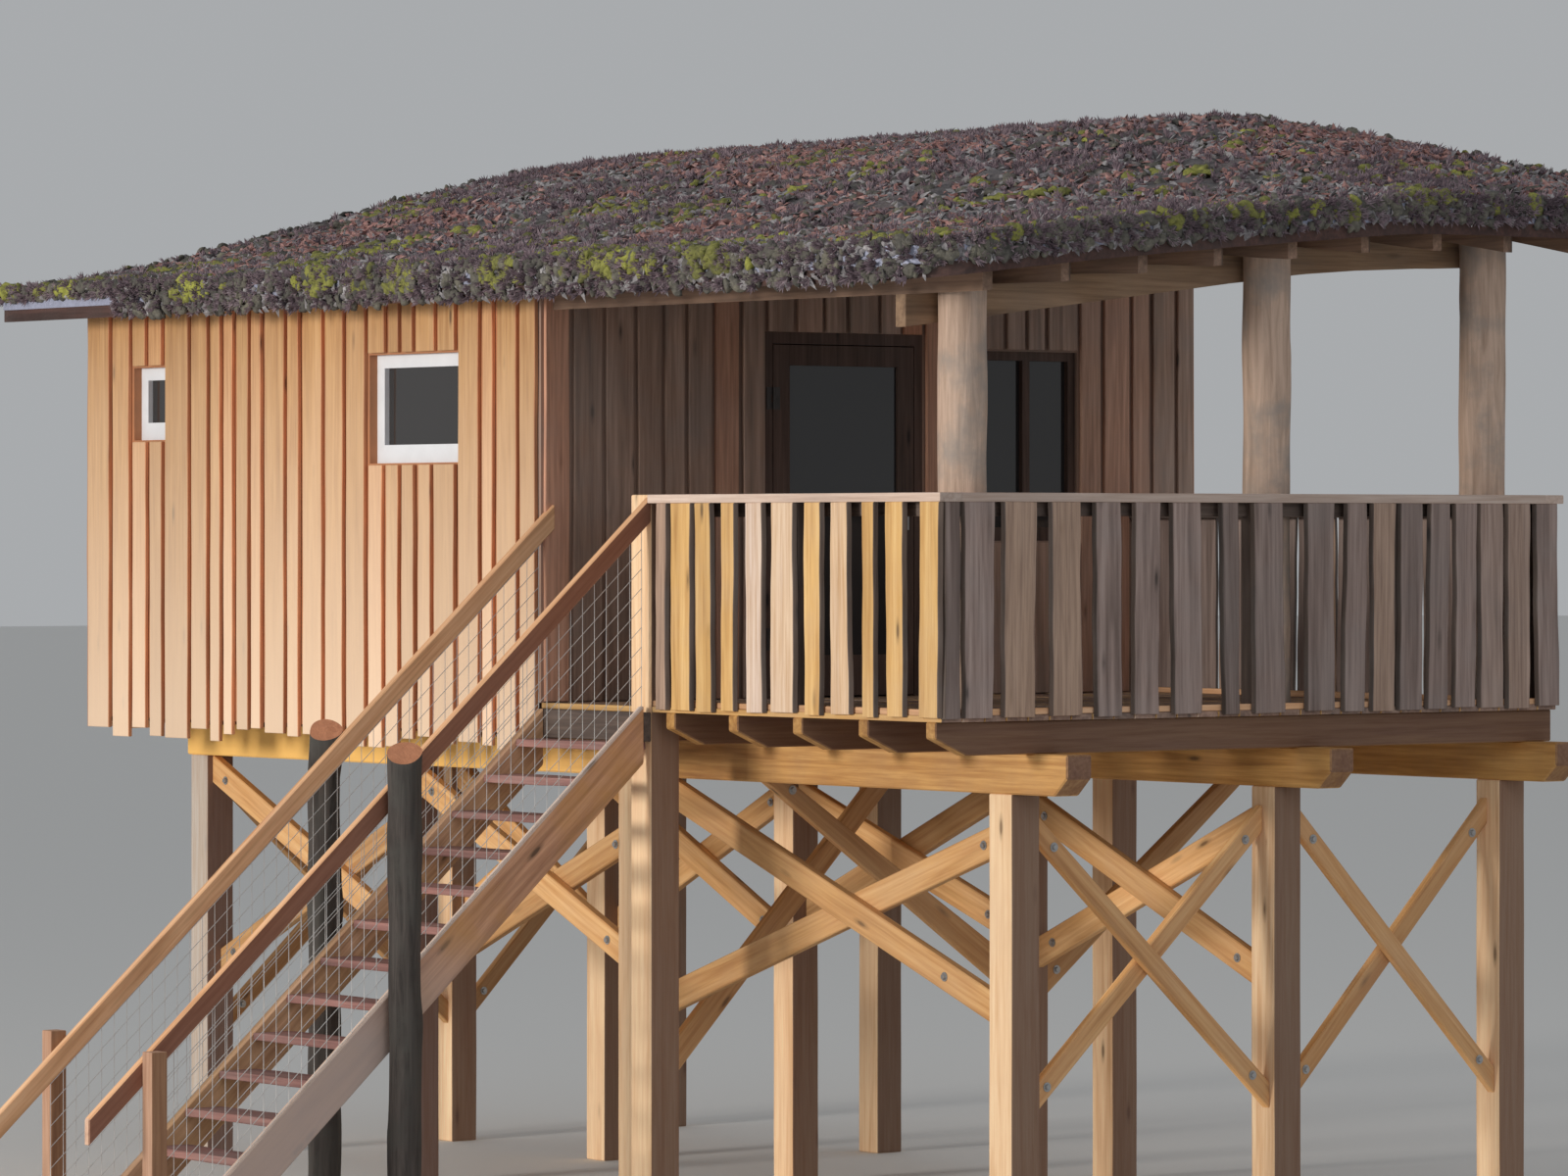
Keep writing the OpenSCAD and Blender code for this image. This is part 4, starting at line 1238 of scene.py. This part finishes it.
scatter("rim_moss", cushion, rim_spots(420, (0.015, 0.045), share=0.6, chance=rim_moss_chance), moss)
scatter("rim_dull_moss", cushion, rim_spots(1700, (0.015, 0.035)), dull_moss)
scatter("rim_sprigs", tuft, rim_spots(2600, (0.025, 0.05), 1.5), stonecrop, False)
scatter("rim_litter", leaf, rim_spots(3200, (0.02, 0.045), 1.0), grey_leaves, False)

# %% [markdown]
# Paint, metal and glass are plain finishes: one colour with a little grime in it.
# By day a window shows a dark room and mirrors the sky, so its glass is a dark glossy surface.

# %% Make paint, metal and glass
def plain(name, colour, rough, metal=0.0, bump=0.0, scale=30.0, grime_depth=0.8):
    """One colour, darker where grime gathers."""
    finish = Finish(name)
    grime = finish.cloud(finish.add("TexCoord", "Object"), scale, 5, 0.6)
    body = finish.ramp(grime, (0.3, dimmed(colour, grime_depth)), (0.65, colour))
    return finish.close(body, rough, metal, grime if bump else None, bump, 0.002)


white_paint = plain("white_paint", (0.80, 0.82, 0.86), 0.5, bump=0.05, scale=9, grime_depth=0.93)
zinc = plain("zinc", (0.40, 0.42, 0.55), 0.62, 0.25)
steel = plain("door_steel", (0.5, 0.5, 0.5), 0.35, 0.9)
dark_steel = plain("dark_steel", (0.10, 0.09, 0.085), 0.5, 0.6)
pane = Finish("window_glass")
pane.feed(pane.shader, {"Specular IOR Level": 0.6})
glass = pane.close((0.036, 0.034, 0.034), 0.06)
print("plain finishes", [m.name for m in (white_paint, zinc, steel, dark_steel, glass)])

# %% [markdown]
# A folded metal edge keeps the soil on the roof and covers the top of the edge board.
# It is a copy of the frame's strip whose lower edge is pulled down a little.

# %% Fold the metal edge
EDGE_DROP = 0.035
edge = copied("roof_edge_strip", "metal_edge")
columns = {}
for vertex in edge.data.vertices:
    columns.setdefault((round(vertex.co.x, 3), round(vertex.co.y, 3)), []).append(vertex)
for column in columns.values():
    if len(column) > 1:
        min(column, key=lambda v: v.co.z).co.z -= EDGE_DROP
edge.data.materials.append(zinc)
finish_piece(edge, ["roof_edge_strip"])
print("columns", len(columns), sum(len(c) > 1 for c in columns.values()))

# %% [markdown]
# Each brace is held by a bolt near both ends, with a washer under its six-sided head.
# One bolt is modelled and copied, and it is left out where a post covers the place.

# %% Bolt the braces
BOLT_INSET = 0.16
COVER = 0.05
WASHER_RADIUS, WASHER_THICK = 0.024, 0.004
HEAD_RADIUS, HEAD_HEIGHT = 0.014, 0.012
bpy.ops.mesh.primitive_cylinder_add(vertices=20, radius=WASHER_RADIUS, depth=WASHER_THICK,
                                    location=(0, 0, WASHER_THICK / 2))
washer = bpy.context.object
bpy.ops.mesh.primitive_cylinder_add(vertices=6, radius=HEAD_RADIUS, depth=HEAD_HEIGHT,
                                    location=(0, 0, WASHER_THICK + HEAD_HEIGHT / 2))
select_only(washer, bpy.context.object)
bpy.ops.object.join()
bolt = taken(bpy.context.object)


def bolt_places(node, axis):
    """Free spots for a bolt near the ends of each brace of a node, on both of its faces."""
    graph = bpy.context.evaluated_depsgraph_get()
    found = []
    for low, high, points in loose_boxes(node):
        corners = [Vector(c) for c in hull_corners(points, axis)]
        first, second = max(zip(corners, corners[1:] + corners[:1]), key=lambda q: (q[0] - q[1]).length)
        along = (second - first).normalized()
        middle = sum(corners, Vector((0, 0))) / len(corners)
        reach = (second - first).length / 2 - BOLT_INSET
        for end in (-1, 1):
            flat = middle + along * reach * end
            for face, way in ((low[axis], -1), (high[axis], 1)):
                place, out = Vector((0, 0, flat.y)), Vector((0, 0, 0))
                place[1 - axis], place[axis] = flat.x, face
                out[axis] = way
                if bpy.context.scene.ray_cast(graph, CORNER + place + out * 0.003, out, distance=COVER)[0]:
                    continue
                found.append((CORNER + place, upright(out), np.ones(3)))
    return found


places = bolt_places("front_braces", 0) + bolt_places("middle_braces", 0) + bolt_places("side_braces", 1)
scatter("brace_bolts", bolt, places, steel, False)

# %% [markdown]
# The parts that stay as the frame has them get their paint, metal, glass and wood.

# %% Dress the frame's parts
for material, names in (
        (strip_wood, "stair_side_wall far_side_wall back_wall"),
        (dark_boards, "deck_wall_left deck_wall_right deck_wall_head"),
        (white_paint, "wide_window_frame slit_window_frame"),
        (glass, "wide_window_glass slit_window_glass deck_window_glass door_glass"),
        (door_wood, "deck_window_frame door_frame door_leaf"),
        (steel, "door_handle"),
        (dark_steel, "hinge_pins hinge_straps"),
        (soffit_wood, "roof_boards roof_rafters"),
        (joist_wood, "roof_front_beam"),
        (fascia_wood, "roof_fascia")):
    for name in names.split():
        nodes[name].data.materials.clear()
        nodes[name].data.materials.append(material)
    print(material.name, "on", names)

# %% [markdown]
# A pale floor, a pale backdrop and soft lamps finish the studio.
# The stronger lamp stands on the stair side, so those faces are bright and the front rail is in shade.

# %% Light the studio
STUDIO_SIZE = 400
bpy.ops.mesh.primitive_plane_add(size=STUDIO_SIZE, location=(0, 0, 0))
ground = bpy.context.object
ground.name = "studio_floor"
ground.data.materials.append(Finish("studio_floor").close((0.72, 0.715, 0.70), 0.9))

world = bpy.data.worlds.new("studio")
world.use_nodes = True
sky = world.node_tree.nodes["Background"].inputs
sky["Color"].default_value = (0.94, 0.97, 1.0, 1)
sky["Strength"].default_value = 0.42
bpy.context.scene.world = world
bpy.context.scene.view_settings.view_transform = "Standard"


def lamp(name, place, target, size, power, colour, spread=180):
    """A round soft lamp at a place, turned to a target."""
    bpy.ops.object.light_add(type="AREA", location=at(*place))
    light = bpy.context.object
    light.name = name
    light.data.shape = "DISK"
    light.data.size = size
    light.data.energy = power
    light.data.color = colour
    light.data.spread = math.radians(spread)
    light.rotation_euler = (at(*target) - light.location).to_track_quat("-Z", "Y").to_euler()
    print(name, power)


lamp("key_lamp", (-30, 4.5, 7), (0, 3.5, 2.5), 6, 1750, (1.0, 0.95, 0.88), 100)
lamp("fill_lamp", (-6, -22, 9), (2, 2, 3), 12, 700, (0.93, 0.96, 1.0))
